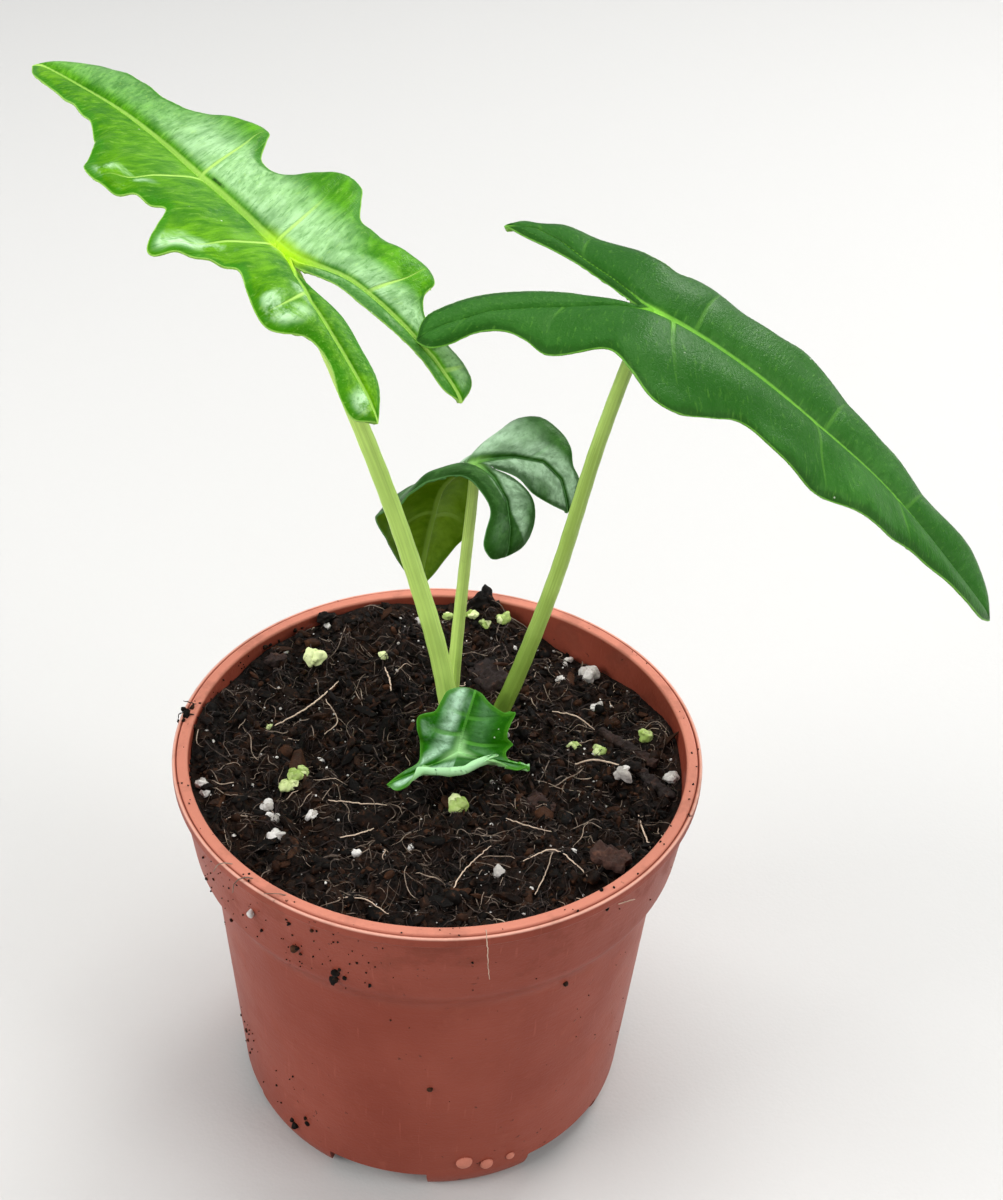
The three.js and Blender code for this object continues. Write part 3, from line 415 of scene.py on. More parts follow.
# How far the side ribs bow backwards, as a share of their length sideways.
RIB_BOW = 0.07
NO_RIB = 9.0
# The halves' strips lie this far to both sides in the UV map, which is in metres along them.
STRIP_GAP = 0.2

# What the blades' tops look like, for the leaves in their order: colours as they look on a
# screen, and amounts. Widths, sizes and reaches are in millimetres, and a scar's place is in
# the UV map's metres.
LEAF_SHADES = {
    "Deep green": ((44, 110, 0), (36, 90, 22), (30, 72, 16), (24, 88, 0)),
    "Left green": ((104, 166, 0), (60, 114, 44), (58, 108, 32), (44, 130, 8)),
    "Vein": ((176, 220, 104), (126, 190, 70), (104, 156, 92), (92, 166, 58)),
    "Heart": ((186, 232, 44), (140, 208, 74), (140, 190, 100), (188, 238, 168)),
    "Margin": ((50, 124, 4), (28, 74, 14), (28, 66, 14), (60, 124, 20)),
    # Painted sheen by the midrib and the ribs' tips; on the long leaf, painted shade.
    "Painted sheen and shade": ((196, 236, 184), (30, 80, 20), (190, 222, 188), (206, 246, 214)),
}
NO_SCAR = -9.0
LEAF_AMOUNTS = {
    "Painted sheen and shade on the left": (0.04, 0.72, 0.05, 0.95), "Painted sheen and shade on the right": (0.72, 0.68, 0.8, 0.14),
    "Painted sheen and shade reach": (18.5, 40, 20, 7.5), "Painted sheen and shade length": (46, 42, 60, 60),
    "Tip sheen": (1, 0.1, 0.1, 0.3), "Vein strength": (0.85, 0.18, 0.3, 0.3),
    "Midrib width": (1.35, 0.8, 0.7, 0.34), "Streak strength": (0.42, 0.32, 0.25, 0.3),
    "Heart size": (11, 3.8, 5, 6), "Margin width": (2, 2, 2, 1),
    "Scar place": (0.2709, NO_SCAR, NO_SCAR, NO_SCAR),
}
LEAF_GLOSS = (0.12, 0.14, 0.12, 0.15)
# The undersides: main green, deep green, heart and vein.
# They are paler than the tops, and painted brighter still as light shining through the blade.
LIT_UNDER_SHADES = (
    ((150, 196, 84), (118, 170, 46), (160, 190, 110), (150, 182, 104)),
    ((120, 164, 72), (92, 138, 46), (160, 190, 110), (150, 182, 104)),
    ((110, 144, 30), (78, 112, 2), (150, 182, 90), (122, 154, 58)),
    ((176, 234, 160), (150, 212, 128), (196, 248, 190), (190, 240, 176)),
)
# The stalks: main green, or none where the settings give it, streaks, and amount of green foot.
STALK_SHADES = (
    (None, (172, 206, 98), 0.0), ((180, 212, 104), (144, 174, 72), 0.9),
    ((216, 246, 132), (176, 206, 100), 0.0), (None, (110, 140, 58), 0.3),
)


def linear(red, green, blue):
    """A colour given as it looks on a screen, 0 to 255, as the renderer's light values."""
    shares = [value / 255 for value in (red, green, blue)]
    light = [s / 12.92 if s <= 0.04045 else ((s + 0.055) / 1.055) ** 2.4 for s in shares]
    return (*light, 1.0)


def curve_through(points, step):
    """Points along a smooth curve through the given ones, and where each lies in their list."""
    points = np.array(points, float)
    line = np.vstack([2 * points[0] - points[1], points, 2 * points[-1] - points[-2]])
    found, places = [], []
    for i in range(len(points) - 1):
        p = line[i:i + 4]
        gaps = np.linalg.norm(np.diff(p, axis=0), axis=1) ** 0.5
        t = np.concatenate([[0], np.cumsum(gaps)])
        count = max(1, math.ceil(np.linalg.norm(p[2] - p[1]) / step))
        share = np.arange(count) / count
        now = (t[1] + share * (t[2] - t[1]))[:, None]
        level = list(p)
        for reach, ends in ((1, 3), (2, 2)):
            level = [
                level[k] + (now - t[k]) / (t[k + reach] - t[k]) * (level[k + 1] - level[k])
                for k in range(ends)
            ]
        found.append(level[0] + (now - t[1]) / (t[2] - t[1]) * (level[1] - level[0]))
        places.append(i + share)
    found.append(points[-1:])
    places.append([len(points) - 1])
    return np.vstack(found), np.concatenate(places)


def unit(vectors):
    return vectors / np.maximum(np.linalg.norm(vectors, axis=-1, keepdims=True), 1e-12)


def bell(distance, width):
    """One at no distance, and nearly nothing beyond two widths."""
    return np.exp(-((distance / width) ** 2))


class Sheet:
    """The bent sheet that a blade lies on, in millimetres."""

    SPAN = 40

    def __init__(self, leaf):
        points = np.array(leaf["back"][::-1] + [leaf["joint"]] + leaf["front"], float)
        line = np.vstack([2 * points[0] - points[1], points, 2 * points[-1] - points[-2]])
        t = (np.arange(self.SPAN) / self.SPAN)[:, None]
        spans = []
        for i in range(len(points) - 1):
            a, b, c, d = line[i:i + 4]
            bend = 2 * a - 5 * b + 4 * c - d + t * (3 * b - a - 3 * c + d)
            spans.append(b + 0.5 * t * (c - a + t * bend))
        self.points = np.vstack(spans + [points[-1:]])
        steps = np.linalg.norm(np.diff(self.points, axis=0), axis=1)
        lengths = np.concatenate([[0], np.cumsum(steps)])
        self.lengths = lengths - lengths[self.SPAN * len(leaf["back"])]
        self.across = np.array(leaf["across"], float)
        self.fold_table = np.array(leaf["fold"], float)

    def spine(self, u):
        """Points of the midrib's line, and straight on beyond its ends."""
        u = np.asarray(u, float)
        place = [np.interp(u, self.lengths, self.points[:, k]) for k in range(3)]
        place = np.stack(place, axis=-1)
        for end, inner, over in ((0, 1, self.lengths[0] - u), (-1, -2, u - self.lengths[-1])):
            away = unit(self.points[end] - self.points[inner])
            place = place + np.maximum(over, 0)[..., None] * away
        return place

    def frame(self, u, v):
        """The directions ahead, sideways and up out of the sheet."""
        ahead = unit(self.spine(u + 1) - self.spine(u - 1))
        side = [np.interp(u, self.across[:, 0], self.across[:, k]) for k in (1, 2, 3)]
        side = np.stack(side, axis=-1)
        side = unit(side - np.sum(side * ahead, axis=-1, keepdims=True) * ahead)
        up = np.cross(side, ahead)
        fold = np.radians(np.interp(u, self.fold_table[:, 0], self.fold_table[:, 1]))
        lean = side * np.cos(fold)[..., None]
        lean = lean + up * (np.sign(v) * np.sin(fold))[..., None]
        return ahead, lean, np.cross(lean, ahead)

    def point(self, u, v):
        return self.spine(u) + v[..., None] * self.frame(u, v)[1]


def object_mode(mode="OBJECT"):
    bpy.ops.object.mode_set(mode=mode)


def deselect():
    if bpy.context.object and bpy.context.object.mode != "OBJECT":
        object_mode()
    bpy.ops.object.select_all(action="DESELECT")


def pick(*objects):
    """Selects only these objects, and makes the first one active."""
    deselect()
    for each in objects:
        each.select_set(True)
    bpy.context.view_layer.objects.active = objects[0]


def added(operator, name=None, **settings):
    """Runs an operator that adds an object, and gives the object."""
    deselect()
    operator(**settings)
    made = bpy.context.object
    if name:
        made.name = name
    return made


def select_mesh(action="SELECT"):
    bpy.ops.mesh.select_all(action=action)


def face_outward():
    """Turns all faces of the mesh that is being edited outwards, and ends the editing."""
    select_mesh()
    bpy.ops.mesh.normals_make_consistent(inside=False)
    object_mode()


def spin_round(steps, angle):
    bpy.ops.mesh.spin(steps=steps, angle=angle, center=(0, 0, 0), axis=(0, 0, 1))


def set_points(piece, points):
    piece.data.vertices.foreach_set("co", np.ascontiguousarray(points, np.float32).ravel())
    piece.data.update()


def get_points(piece):
    points = np.empty(3 * len(piece.data.vertices), np.float32)
    piece.data.vertices.foreach_get("co", points)
    return points.reshape(-1, 3).astype(float)


def set_values(piece, name, values):
    """Keeps one number for each vertex, for the materials to read. One value does for all."""
    if name not in piece.data.attributes:
        piece.data.attributes.new(name, "FLOAT", "POINT")
    flat = np.broadcast_to(np.ravel(values), len(piece.data.vertices)).astype(np.float32)
    piece.data.attributes[name].data.foreach_set("value", flat)


def get_values(piece, name):
    values = np.empty(len(piece.data.vertices), np.float32)
    piece.data.attributes[name].data.foreach_get("value", values)
    return values


def weigh(piece, name, weights):
    """Gives the vertices their weights in a new group."""
    group = piece.vertex_groups.new(name=name)
    for i, weight in enumerate(weights):
        group.add([i], float(weight), "REPLACE")


def shaped_grid(name, points, uv=None, values=None):
    """A grid of faces whose corners are moved to points, an array of rows and columns in
    metres. It faces the way that the rows' direction turned into the columns' points."""
    rows, columns = points.shape[:2]
    piece = added(
        bpy.ops.mesh.primitive_grid_add, name,
        x_subdivisions=rows - 1, y_subdivisions=columns - 1, size=1,
    )
    set_points(piece, points.transpose(1, 0, 2))
    if uv is not None:
        corners = np.empty(len(piece.data.loops), np.int32)
        piece.data.loops.foreach_get("vertex_index", corners)
        flat = uv.transpose(1, 0, 2).reshape(-1, 2)[corners]
        piece.data.uv_layers[0].data.foreach_set("uv", flat.astype(np.float32).ravel())
    for key, numbers in (values or {}).items():
        set_values(piece, key, numbers.T)
    return piece


def merge_close(piece, distance, outward=True):
    """Merges the vertices of a piece that lie this close together."""
    pick(piece)
    object_mode("EDIT")
    select_mesh()
    bpy.ops.mesh.remove_doubles(threshold=distance)
    bpy.ops.mesh.delete_loose()
    if outward:
        face_outward()
    object_mode()


def join(name, pieces):
    pick(*pieces)
    if len(pieces) > 1:
        bpy.ops.object.join()
    piece = bpy.context.object
    piece.name = name
    return piece


def modify(piece, kind, **settings):
    """Adds a modifier and applies it."""
    pick(piece)
    made = piece.modifiers.new(kind.title(), kind)
    for key, value in settings.items():
        setattr(made, key, value)
    bpy.ops.object.modifier_apply(modifier=made.name)


def roughen(piece, kind, size, strength, texture_settings, **settings):
    """Displaces a piece by a pattern of this kind and size."""
    texture = bpy.data.textures.new(piece.name, kind)
    texture.noise_scale = size
    for key, value in texture_settings.items():
        setattr(texture, key, value)
    modify(
        piece, "DISPLACE", texture=texture, strength=strength, mid_level=0.5,
        texture_coords="LOCAL", **settings,
    )


def smooth(piece, degrees):
    pick(piece)
    bpy.ops.object.shade_smooth_by_angle(angle=math.radians(degrees))
    return piece


def place(piece, slot, materials=(), replaces=()):
    """Gives a piece its materials, unless it has them, and tells the frame where it belongs."""
    if materials:
        piece.data.materials.clear()
    for each in materials:
        piece.data.materials.append(each)
    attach(piece, "root")
    if replaces:
        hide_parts(*replaces)
    deselect()


def tube(name, path, radii, sides, bumps=None, values=None):
    """A closed tube along a path, in metres. The radii are one for each point, and bumps may
    make them uneven: one for each point and side."""
    ahead = unit(np.gradient(path, axis=0))
    out = np.empty_like(ahead)
    start = np.cross(ahead[0], [0.31, 0.86, 0.4])
    for i, each in enumerate(ahead):
        start = start - np.dot(start, each) * each
        start = start / np.linalg.norm(start)
        out[i] = start
    across = np.cross(ahead, out)
    turn = np.linspace(0, WHOLE_TURN, sides + 1)
    reach = np.repeat(np.asarray(radii, float)[:, None], sides + 1, axis=1)
    if bumps is not None:
        reach = reach * np.concatenate([bumps, bumps[:, :1]], axis=1)
    cos, sin = np.cos(turn)[None, :, None], np.sin(turn)[None, :, None]
    points = path[:, None] + reach[..., None] * (cos * out[:, None] + sin * across[:, None])
    first, last = (path[k:k + 1, None].repeat(sides + 1, 1) for k in (0, len(path) - 1))
    points = np.concatenate([first, points, last])
    along = np.concatenate([[0], np.cumsum(np.linalg.norm(np.diff(path, axis=0), axis=1))])
    along = np.concatenate([along[:1], along, along[-1:]])
    uv = np.stack(np.broadcast_arrays(along[:, None], turn[None] / WHOLE_TURN), axis=-1)
    columns = {}
    for key, numbers in (values or {}).items():
        numbers = np.concatenate([numbers[:1], numbers, numbers[-1:]])
        columns[key] = np.repeat(numbers[:, None], sides + 1, axis=1)
    piece = shaped_grid(name, points, uv, columns)
    merge_close(piece, 1e-6)
    return piece


def rounded(section):
    """A section's outline with its corners rounded: [radius, height, corner's radius]."""
    found = []
    for i, (x, z, radius) in enumerate(section):
        here = np.array([x, z], float)
        if radius == 0 or i in (0, len(section) - 1):
            found.append(here)
            continue
        sides = [np.array(section[i + k][:2], float) - here for k in (-1, 1)]
        lengths = [np.linalg.norm(each) for each in sides]
        reach = min(radius, 0.49 * lengths[0], 0.49 * lengths[1])
        first, last = [here + reach * s / length for s, length in zip(sides, lengths)]
        for t in np.linspace(0, 1, CORNER_STEPS + 1):
            found.append((1 - t) ** 2 * first + 2 * t * (1 - t) * here + t ** 2 * last)
    return np.array(found)


def spun(name, outline, steps):
    """A closed solid of revolution round the z axis. The outline starts and ends on the axis."""
    piece = added(
        bpy.ops.mesh.primitive_circle_add, name,
        vertices=len(outline), radius=1, fill_type="NOTHING",
    )
    set_points(piece, np.insert(outline, 1, 0, axis=1))
    pick(piece)
    object_mode("EDIT")
    select_mesh("DESELECT")
    object_mode()
    for edge in piece.data.edges:
        edge.select = set(edge.vertices) == {0, len(outline) - 1}
    object_mode("EDIT")
    bpy.ops.mesh.select_mode(type="EDGE")
    bpy.ops.mesh.delete(type="EDGE_FACE")
    bpy.ops.mesh.select_mode(type="VERT")
    select_mesh()
    spin_round(steps, WHOLE_TURN)
    object_mode()
    merge_close(piece, 1e-5)
    return piece


def copies(piece, count):
    """Repeats a small piece in its own mesh, and gives its points, one array for each copy."""
    modify(
        piece, "ARRAY", fit_type="FIXED_COUNT", count=count, use_relative_offset=False,
        use_constant_offset=True, constant_offset_displace=(0, 0, MM),
    )
    points = get_points(piece).reshape(count, -1, 3)
    points[:, :, 2] -= (MM * np.arange(count))[:, None]
    return points


def turned(points, turns):
    """Turns each copy's points by its own three angles."""
    for axis in range(3):
        a, b = (axis + 1) % 3, (axis + 2) % 3
        cos, sin = np.cos(turns[:, axis])[:, None], np.sin(turns[:, axis])[:, None]
        points[..., a], points[..., b] = (
            cos * points[..., a] - sin * points[..., b],
            sin * points[..., a] + cos * points[..., b],
        )
    return points


class Value:
    """A number or colour on its way through a shader's nodes."""

    def __init__(self, tree, socket):
        self.tree, self.socket = tree, socket

    def math(self, operation, *others):
        values = dict(enumerate((self, *others)))
        return add_node(self.tree, "Math", values, operation=operation)

    def __add__(self, other):
        return self.math("ADD", other)

    def __sub__(self, other):
        return self.math("SUBTRACT", other)

    def __mul__(self, other):
        return self.math("MULTIPLY", other)

    def __truediv__(self, other):
        return self.math("DIVIDE", other)

    def step(self, low, high, to_low=0.0, to_high=1.0):
        """Goes smoothly from to_low to to_high where this value goes from low to high."""
        values = {"Value": self, 1: low, 2: high, 3: to_low, 4: to_high}
        return add_node(self.tree, "MapRange", values, interpolation_type="SMOOTHSTEP")


def add_node(tree, kind, values, output=0, **settings):
    """Adds a shader node with these inputs and settings, and gives one of its outputs."""
    made = tree.nodes.new(f"ShaderNode{kind}")
    for key, value in settings.items():
        setattr(made, key, value)
    for key, value in values.items():
        if isinstance(value, Value):
            tree.links.new(value.socket, made.inputs[key])
        else:
            made.inputs[key].default_value = value
    return Value(tree, made.outputs[output])


class Surface:
    """A shader group in the making, with its inputs, its coordinates and its colour so far."""

    OUTPUTS = {
        "Color": "NodeSocketColor", "Roughness": "NodeSocketFloat",
        "Height": "NodeSocketFloat",
    }

    def __init__(self, name, inputs):
        self.tree = bpy.data.node_groups.new(name, "ShaderNodeTree")
        new_socket = self.tree.interface.new_socket
        for label, default in inputs.items():
            kind = "NodeSocketColor" if isinstance(default, tuple) else "NodeSocketFloat"
            new_socket(label, in_out="INPUT", socket_type=kind).default_value = default
        for label, kind in self.OUTPUTS.items():
            new_socket(label, in_out="OUTPUT", socket_type=kind)
        sockets = self.tree.nodes.new("NodeGroupInput").outputs
        self.given = {label: Value(self.tree, sockets[label]) for label in inputs}
        self.spot, self.strip = (self.node("TexCoord", {}, kind) for kind in ("Object", "UV"))
        self.colour = next(iter(self.given.values()))

    def node(self, kind, values, output=0, **settings):
        return add_node(self.tree, kind, values, output, **settings)

    def mix(self, amount, first, second):
        values = {0: amount, 6: first, 7: second}
        return self.node("Mix", values, 2, data_type="RGBA")

    def paint(self, amount, shade):
        """Lays a shade, or the one that is given under this name, over the colour so far."""
        shade = self.given[shade] if isinstance(shade, str) else shade
        self.colour = self.mix(amount, self.colour, shade)

    def stretched(self, scales, source=None):
        return self.node("Mapping", {"Vector": source or self.spot, "Scale": scales})

    def noise(self, scale, detail, roughness, distortion=0.0, source=None):
        """Noise of one scale, or of three, which draw it out into streaks."""
        vector = self.spot
        if isinstance(scale, tuple):
            vector, scale = self.stretched(scale, source), 1.0
        return self.node("TexNoise", {
            "Vector": vector, "Scale": scale, "Detail": detail, "Roughness": roughness,
            "Distortion": distortion,
        })

    def cells(self, scale, feature="F1"):
        values = {"Vector": self.spot, "Scale": scale}
        return self.node("TexVoronoi", values, "Distance", feature=feature)

    def attribute(self, name):
        return self.node("Attribute", {}, "Fac", attribute_name=name)

    def axis(self, vector, name):
        return self.node("SeparateXYZ", {"Vector": vector}, name)

    def finish(self, rough, height):
        outlet = self.tree.nodes.new("NodeGroupOutput")
        for label, value in zip(self.OUTPUTS, (self.colour, rough, height)):
            self.tree.links.new(value.socket, outlet.inputs[label])
        return self.tree


def new_material(name, group, inputs, bump, gloss=0.5, tint=(1.0, 1.0, 1.0, 1.0)):
    """A material whose colour, roughness and relief come from a group that materials share.

    group is the function that builds it, bump is the height of its relief in millimetres, and
    gloss and tint are the shader's specular level and tint.
    """
    made = bpy.data.materials.new(name)
    made.use_nodes = True
    tree = made.node_tree
    tree.nodes.clear()
    shared = tree.nodes.new("ShaderNodeGroup")
    shared.node_tree = bpy.data.node_groups.get(group.__name__) or group(group.__name__)
    for key, value in inputs.items():
        shared.inputs[key].default_value = value
    colour, rough, height = (Value(tree, shared.outputs[key]) for key in Surface.OUTPUTS)
    relief = add_node(tree, "Bump", {"Strength": 1.0, "Distance": bump * MM, "Height": height})
    shader = add_node(tree, "BsdfPrincipled", {
        "Base Color": colour, "Roughness": rough, "Normal": relief, "Specular IOR Level": gloss,
        "Specular Tint": tint,
    })
    output = tree.nodes.new("ShaderNodeOutputMaterial")
    tree.links.new(shader.socket, output.inputs["Surface"])
    return made


def leaf_inputs(order):
    """The colours and amounts of the top of one of the leaves."""
    inputs = {label: linear(*row[order]) for label, row in LEAF_SHADES.items()}
    inputs.update({label: row[order] for label, row in LEAF_AMOUNTS.items()})
    return inputs


def leaf_surface(name):
    """Mottled green with paler veins, a darker turned margin and a pale heart at the joint."""
    skin = Surface(name, {"Green": linear(90, 150, 40), **leaf_inputs(0)})
    given = skin.given
    rib, mid, edge, heart, half, roll = (
        skin.attribute(key) for key in ("rib", "mid", "edge", "heart", "half", "roll")
    )
    broad = skin.noise(42.0, 3.0, 0.6, 0.4)
    patches = skin.noise(170.0, 4.0, 0.65)
    crumple = skin.noise(95.0, 5.0, 0.68, 0.5)
    fine = skin.noise((1500.0, 7.0, 1.0), 3.0, 0.6, 0.2, skin.strip)
    streaks = skin.noise((560.0, 3.0, 1.0), 3.0, 0.6, 0.3, skin.strip)
    pores = skin.cells(900.0, "DISTANCE_TO_EDGE")
    # Mottled green, with a right and a left half of their own.
    shade = broad * 0.5 + streaks * 0.5
    left = half.step(0.3, -0.3)
    green = skin.mix(left, given["Green"], given["Left green"])
    skin.colour = given["Deep green"]
    skin.paint(shade.step(0.34, 0.7), green)
    skin.paint(patches.step(0.6, 0.74, 0.0, 0.09), "Vein")
    # Painted sheen along the midrib; on the long leaf it is dark, painted shade.
    # A painted sheen on the left half near the ribs' tips.
    tips = rib.step(6.0, 1.6) * edge.step(7.5, 3.5) * edge.step(0.3, 1.6)
    tips = tips * crumple.step(0.42, 0.6) * (left * given["Tip sheen"])
    reach = mid / given["Painted sheen and shade reach"]
    length = heart / given["Painted sheen and shade length"]
    haze = crumple * 0.45 + streaks * 0.55
    sheen_and_shade = mid.step(0.8, 3.4) * reach.step(1.0, 0.4) * length.step(1.3, 0.7, 0.25, 1.0)
    sheen_and_shade = sheen_and_shade * haze.step(0.34, 0.64, 0.4, 1.0)
    sheen_and_shade = sheen_and_shade * half.step(-0.4, 0.4, given["Painted sheen and shade on the left"], given["Painted sheen and shade on the right"])
    skin.paint(sheen_and_shade.math("MAXIMUM", tips), "Painted sheen and shade")
    # The darker margin, and dark and pale threads.
    wide = given["Margin width"] * crumple.step(0.35, 0.65, 0.5, 1.4)
    skin.paint((edge / wide).step(1.0, 0.4, 0.0, 0.8), "Margin")
    skin.paint(fine.step(0.47, 0.34) * given["Streak strength"], "Deep green")
    skin.paint(fine.step(0.56, 0.7, 0.0, 0.45) * given["Streak strength"], "Vein")
    # Side ribs, the midrib and the heart.
    near_heart = heart / given["Heart size"]
    close = near_heart.step(2.4, 0.8, 0.0, 0.75)
    side = (rib / mid.step(0.0, 22.0, 0.7, 0.3)).step(1.0, 0.35) * edge.step(0.6, 6.0, 0.15, 1.0)
    side = side * given["Vein strength"].math("MAXIMUM", close)
    skin.paint(side, "Vein")
    main_width = heart.step(0.0, 95.0, 1.0, 0.36) * given["Midrib width"]
    main = (mid / main_width).step(1.0, 0.5)
    glow = near_heart.step(1.0, 0.1)
    skin.paint(glow * (mid / given["Heart size"]).step(0.36, 0.05, 0.0, 0.7), "Heart")
    skin.paint(main * 0.9, "Vein")
    skin.paint(main * glow, "Heart")
    skin.paint(edge.step(0.3, 0.08, 0.0, 0.6), "Vein")
    # A scar beside the midrib, pale dots, and the margin that curls up.
    scar = (skin.axis(skin.strip, "X") - given["Scar place"]).math("ABSOLUTE")
    scar = scar.step(0.0034, 0.0022) * mid.step(1.9, 1.5) * mid.step(1.0, 1.3)
    skin.paint(scar * patches.step(0.42, 0.56, 0.0, 0.85), linear(20, 56, 8))
    dots = skin.cells(230.0).step(0.06, 0.035) * patches.step(0.57, 0.62, 0.0, 0.8)
    skin.paint(dots, linear(228, 238, 214))
    skin.paint(roll.step(0.2, 0.75, 0.0, 0.85), "Heart")
    rough = patches * 0.22 + 0.3 - tips * 0.2
    height = fine * 0.5 + patches * 0.3 + crumple * 1.2 + pores.step(0.0, 0.2) * 0.1 - side * 0.8
    return skin.finish(rough, height)


def stalk_surface(name):
    """Pale green with fine lengthwise streaks, darker flecks and a greener foot."""
    skin = Surface(name, {
        "Green": linear(150, 180, 90), "Streak": linear(105, 135, 55), "Foot amount": 0.5,
    })
    lines = skin.noise((18.0, 26.0, 1.0), 3.0, 0.6, 0.0, skin.strip)
    hair = skin.noise((60.0, 90.0, 1.0), 2.0, 0.5, 0.0, skin.strip)
    broad = skin.noise(60.0, 3.0, 0.6)
    shade = lines * 0.6 + broad * 0.4
    skin.paint(shade.step(0.6, 0.4, 0.0, 0.8), "Streak")
    skin.paint(skin.noise(700.0, 2.0, 0.6).step(0.68, 0.74, 0.0, 0.4), "Streak")
    foot = skin.attribute("height").step(150.0, 102.0) * skin.given["Foot amount"]
    skin.paint(foot, linear(108, 138, 44))
    return skin.finish(broad * 0.16 + 0.34, lines * 0.8 + hair * 0.4)


def plastic_surface(name):
    """Moulded plastic: faint mottling, rubbed patches and scratches, scuffs and a film of soil."""
    skin = Surface(name, {
        "Plastic": linear(170, 100, 80), "Rubbed": linear(205, 140, 120), "Film amount": 0.35,
    })
    soil, lit_lip_shade = linear(70, 36, 24), linear(212, 136, 114)
    broad = skin.noise(18.0, 4.0, 0.6, 0.3)
    cloud = skin.noise(90.0, 4.0, 0.65)
    grain = skin.noise(1500.0, 2.0, 0.5)
    scuffs = skin.noise((60.0, 60.0, 700.0), 3.0, 0.6)
    scratches = skin.noise((900.0, 900.0, 40.0), 2.0, 0.5)
    skin.paint(broad.step(0.3, 0.72, 0.0, 0.35), "Rubbed")
    skin.paint(cloud.step(0.58, 0.74, 0.0, 0.25), "Rubbed")
    skin.paint(scratches.step(0.66, 0.74, 0.0, 0.25), "Rubbed")
    skin.paint(skin.attribute("pip") * 0.7, lit_lip_shade)
    # Painted light: the lip's top is paler, lit from above, and brightest on its outer bead.
    high = skin.axis(skin.spot, "Z")
    lip = high.step(0.0992, 0.0998) * 0.85
    skin.paint(lip, lit_lip_shade)
    level = {0: skin.stretched((1.0, 1.0, 0.0))}
    from_middle = skin.node("VectorMath", level, "Value", operation="LENGTH")
    # A painted highlight on the small bead at the lip's outer edge.
    skin.paint(lip * from_middle.step(0.0593, 0.0597, 0.0, 0.42), linear(255, 222, 204))
    film = cloud.step(0.5, 0.66) * high.step(0.062, 0.094, 0.25, 1.0) * skin.given["Film amount"]
    skin.paint(film, soil)
    specks = skin.noise(620.0, 2.0, 0.6).step(0.7, 0.74) * broad.step(0.42, 0.6)
    skin.paint(specks * 0.75, soil)
    height = grain * 0.25 + scuffs * 0.25 + cloud * 0.5 + specks * 0.8
    return skin.finish(cloud * 0.2 + 0.33 + film * 0.4, height)


def earth_surface(name):
    """Crumbly matter: each crumb has its own tone, with dust and pits."""
    skin = Surface(name, {
        "Dark": linear(16, 12, 10), "Light": linear(60, 42, 28), "Dust": linear(110, 82, 55),
        "Dust amount": 0.3, "Grain size": 700.0, "Dullness": 0.8,
    })
    grain = skin.noise(skin.given["Grain size"], 4.0, 0.65)
    shade = skin.noise(130.0, 4.0, 0.6) * 0.4 + grain * 0.35 + skin.attribute("tone") * 0.5
    skin.paint(shade.step(0.42, 0.95), "Light")
    skin.paint(grain.step(0.56, 0.72) * skin.given["Dust amount"], "Dust")
    rough = grain * 0.15 + skin.given["Dullness"]
    return skin.finish(rough, grain + skin.cells(1100.0) * 0.5)


def soil_height(x, y):
    """Height of the soil's surface, in millimetres."""
    away = np.clip((np.hypot(x, y) / RIM_RADIUS - 0.78) / 0.17, 0, 1)
    edge = away * away * (3 - 2 * away)
    lumps = 0.9 * np.sin(0.31 * x + 1.3) * np.cos(0.27 * y - 0.4)
    lumps = lumps + 0.5 * np.sin(0.63 * x - 0.41 * y) * np.sin(0.52 * y + 0.8)
    height = SOIL_LEVEL + lumps * (1 - edge)
    for cx, cy, spread_x, spread_y, rise in SOIL_HEAPS:
        height = height + rise * np.exp(-(((x - cx) / spread_x) ** 2) - ((y - cy) / spread_y) ** 2)
    return height


def surface_finder(piece):
    """Finds the height of a piece's upper surface, in millimetres, at x and y."""
    faces = [tuple(face.vertices) for face in piece.data.polygons]
    tree = BVHTree.FromPolygons([Vector(point) for point in get_points(piece)], faces)
    over, down = 0.13, Vector((0, 0, -1))

    def find(x, y):
        heights = []
        for px, py in zip(np.ravel(x), np.ravel(y)):
            hit = tree.ray_cast(Vector((px * MM, py * MM, over)), down)[0]
            heights.append(hit.z / MM if hit else SOIL_LEVEL)
        return np.array(heights)

    return find


def wall_radius(height):
    """Outer radius of the pot's long straight wall at a height."""
    (low_radius, low, _), (high_radius, high, _) = POT_SECTION[7:9]
    return np.interp(height, [low, high], [low_radius, high_radius])


def around(angle, far, high):
    """Places at these angles, distances from the pot's axis and heights."""
    return np.stack([far * np.cos(angle), far * np.sin(angle), 0 * far + high], axis=1)


def sizes_about(random, middle, spread, count):
    """Random sizes about a middle one, with some much larger ones."""
    return middle * np.exp(random.normal(0, spread, count))


class PotSettings(bpy.types.PropertyGroup):
    rim_radius: bpy.props.FloatProperty(
        name="Rim radius", description="Outer radius of the pot's rim",
        default=RIM_RADIUS * MM, subtype="DISTANCE", unit="LENGTH",
    )
    height: bpy.props.FloatProperty(
        name="Height", description="Height of the pot",
        default=POT_HEIGHT * MM, subtype="DISTANCE", unit="LENGTH",
    )
    steps: bpy.props.IntProperty(
        name="Steps round", description="Faces round the pot's wall", default=168,
    )
    plastic: bpy.props.FloatVectorProperty(
        name="Plastic", description="Colour of the pot", size=4, subtype="COLOR",
        default=linear(132, 58, 42),
    )
    rubbed: bpy.props.FloatVectorProperty(
        name="Rubbed plastic", description="Colour where the pot is rubbed and pale", size=4,
        subtype="COLOR", default=linear(176, 96, 78),
    )
    film: bpy.props.FloatProperty(
        name="Soil film", description="How much soil has dried on the plastic", default=0.22,
        min=0, max=1, subtype="FACTOR",
    )


